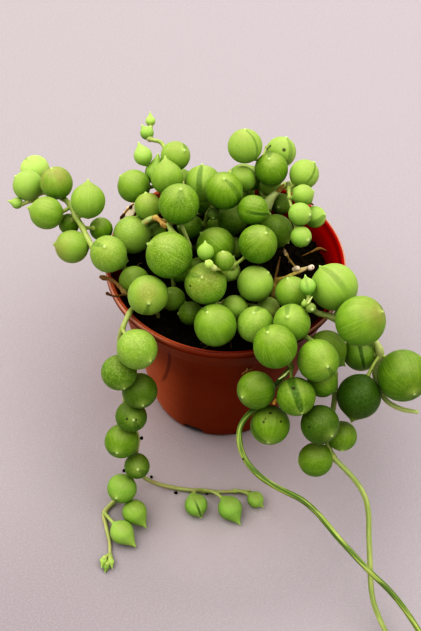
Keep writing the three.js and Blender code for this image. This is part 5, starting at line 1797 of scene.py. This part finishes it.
# %% Fibres
FIBRES = 46
FIBRE_POINTS, FIBRE_SIDES = 8, 5
FIBRE_SHORTEST, FIBRE_LONGER = 1.5, 4.5
FIBRE_INWARD, FIBRE_CLEAR = 0.93, 0.3
FIBRE_BEND = 1.4
FIBRE_LIFT, FIBRE_ARCH = 0.25, 0.5
FIBRE_THIN, FIBRE_THICKER = 0.09, 0.07
FIBRE_PALE = srgb(150, 125, 98)
FIBRE_BROWN = srgb(100, 77, 56)
fibre_material, tree, shader, objects = new_material("fibre")
fibre_colour = use_group(tree, patches, Place=objects, Scale=150.0, Softness=0.1,
                         First=FIBRE_PALE, Second=FIBRE_BROWN)
tree.links.new(fibre_colour, shader["Base Color"])
set_plain(shader, Roughness=0.9)
parts = []
for k in range(FIBRES):
    reach = FIBRE_SHORTEST + FIBRE_LONGER * rng.uniform() ** 2
    start = np.array([math.cos(angle[k]), math.sin(angle[k])]) * out[k] * FIBRE_INWARD
    heading = rng.uniform(0, 2 * np.pi)
    heading = heading + np.linspace(0, rng.uniform(-FIBRE_BEND, FIBRE_BEND), FIBRE_POINTS)
    steps = np.stack([np.cos(heading), np.sin(heading)], axis=1) * reach / FIBRE_POINTS
    flat = start + np.cumsum(steps, axis=0)
    arch = FIBRE_ARCH * rng.uniform() * np.sin(np.linspace(0, np.pi, FIBRE_POINTS))
    line = np.column_stack([flat, soil_height(flat[:, 0], flat[:, 1]) + (FIBRE_LIFT + arch)])
    if np.hypot(*flat.T).max() < soil_edge - FIBRE_CLEAR:
        radius = np.full(FIBRE_POINTS, FIBRE_THIN + FIBRE_THICKER * rng.uniform())
        parts.append(tube(line, radius, FIBRE_SIDES))
fibres = new_piece("soil_fibres", *join(parts), fibre_material)
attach(fibres, "root")
print("crumbs and fibres:", CRUMBS, len(parts))

# %% [markdown]
# ## Floor, light and background
#
# The plant stands on a pale lilac-grey cloth under one broad soft light, with pale surroundings
# that fill the shadows. The cloth is plain, with a faint weave. Light and shade are painted on
# it: it is a little lighter just in front of the pot, a painted light that lifts the plant's
# shadow, a little darker at the front left, a painted shade, as it is in the photo, and very
# slightly darker on the left than on the right, a painted shade too. Under the pot the cloth is
# painted dark, a painted shade in place of the deep shade that the photo shows in the notch.

# %% Floor
# Slightly darker on the left than on the right: a painted shade.
FLOOR_LEFT = srgb(151, 144, 145)
FLOOR_RIGHT = srgb(154, 147, 149)
# Painted shade at the front left.
FLOOR_PAINTED_SHADE_FRONT = srgb(140, 132, 134)
# Painted light just in front of the pot, which lifts the plant's shadow.
FLOOR_PAINTED_LIGHT = srgb(172, 163, 164)
FLOOR_THREAD = srgb(178, 172, 174)
# Painted shade under the pot, seen through the notches.
FLOOR_PAINTED_SHADE_UNDER = srgb(40, 32, 30)
# The ends in mm that a change of colour rises between, and the middle of the painted light in metres.
ACROSS_ENDS = (-160, 120)
FRONT_ENDS, FRONT_LEFT_ENDS, FRONT_FAR_ENDS = (-20, -75), (30, -50), (400, 160)
PAINTED_LIGHT_MIDDLE, PAINTED_LIGHT_ENDS = (0.002, -0.026, 0.0), (38, 12)
PAINTED_SHADE_UNDER_ENDS, PAINTED_SHADE_UNDER_SHARE = (BASE_RADIUS + 0.1, BASE_RADIUS - 1.2), 0.8
THREAD_STRETCH, THREAD_SCALE = (1.0, 1.6, 1.0), 1900.0
THREAD_ENDS, THREAD_SHARE = (0.42, 0.68), 0.16
FLOOR_HALF = 1.6
floor_material, tree, shader, objects = new_material("pale cloth")
sideways, away, _ = parts_of(tree, objects)
# Painted shade: the cloth is very slightly darker on the left than on the right.
floor_colour = colour_mix(tree, rise_in_mm(tree, sideways, ACROSS_ENDS), FLOOR_LEFT, FLOOR_RIGHT)
out = reach_of(tree, objects)
# Painted shade: the cloth turns darker at the front left.
front = product(tree, rise_in_mm(tree, away, FRONT_ENDS),
                rise_in_mm(tree, sideways, FRONT_LEFT_ENDS), rise_in_mm(tree, out, FRONT_FAR_ENDS))
# Painted light: the cloth turns lighter just in front of the pot, lifting the plant's shadow.
off = put(tree, "ShaderNodeVectorMath", objects, PAINTED_LIGHT_MIDDLE, operation="SUBTRACT")
near = rise_in_mm(tree, reach_of(tree, off), PAINTED_LIGHT_ENDS)
# Painted shade: the cloth under the pot turns dark, seen through the notches.
under = product(tree, rise_in_mm(tree, out, PAINTED_SHADE_UNDER_ENDS), PAINTED_SHADE_UNDER_SHARE)
threads = noise(tree, stretch(tree, objects, THREAD_STRETCH), THREAD_SCALE)
light_threads = product(tree, rise_between(tree, threads, THREAD_ENDS), THREAD_SHARE)
floor_colour = layered(tree, floor_colour, (front, FLOOR_PAINTED_SHADE_FRONT), (near, FLOOR_PAINTED_LIGHT),
                       (under, FLOOR_PAINTED_SHADE_UNDER), (light_threads, FLOOR_THREAD))
tree.links.new(floor_colour, shader["Base Color"])
bump(tree, shader, threads, strength=0.3, depth=0.0003)
set_plain(shader, Roughness=0.8)
floor_mesh = bpy.data.meshes.new("floor")
corners = [(x * FLOOR_HALF, y * FLOOR_HALF, 0) for x, y in ((-1, -1), (1, -1), (1, 1), (-1, 1))]
floor_mesh.from_pydata(corners, [], [(0, 1, 2, 3)])
floor_mesh.materials.append(floor_material)
floor = bpy.data.objects.new("floor", floor_mesh)
bpy.context.scene.collection.objects.link(floor)
print("floor in metres:", 2 * FLOOR_HALF, "each way, nodes in its finish:", len(tree.nodes))

# %% Light
ROOM_COLOUR, ROOM_STRENGTH = (0.93, 0.9, 0.92, 1.0), 0.69


def area_light(name, place, target, width, power, colour):
    """A square light that looks at a target, in metres and watts."""
    data = bpy.data.lights.new(name, "AREA")
    data.size = width
    data.energy = power
    data.color = colour
    light = bpy.data.objects.new(name, data)
    light.location = place
    light.rotation_euler = (Vector(target) - Vector(place)).to_track_quat("-Z", "Y").to_euler()
    bpy.context.scene.collection.objects.link(light)
    return light


area_light("overhead light", place=(-0.1, 0.2, 1.0), target=(0, 0, 0.03), width=2.2, power=19.0,
           colour=(1.0, 0.99, 0.97))
world = bpy.data.worlds.new("pale room")
world.use_nodes = True
set_plain(world.node_tree.nodes["Background"].inputs, Color=ROOM_COLOUR, Strength=ROOM_STRENGTH)
bpy.context.scene.world = world
bpy.context.scene.view_settings.view_transform = "Standard"
bpy.context.scene.view_settings.look = "Very High Contrast"
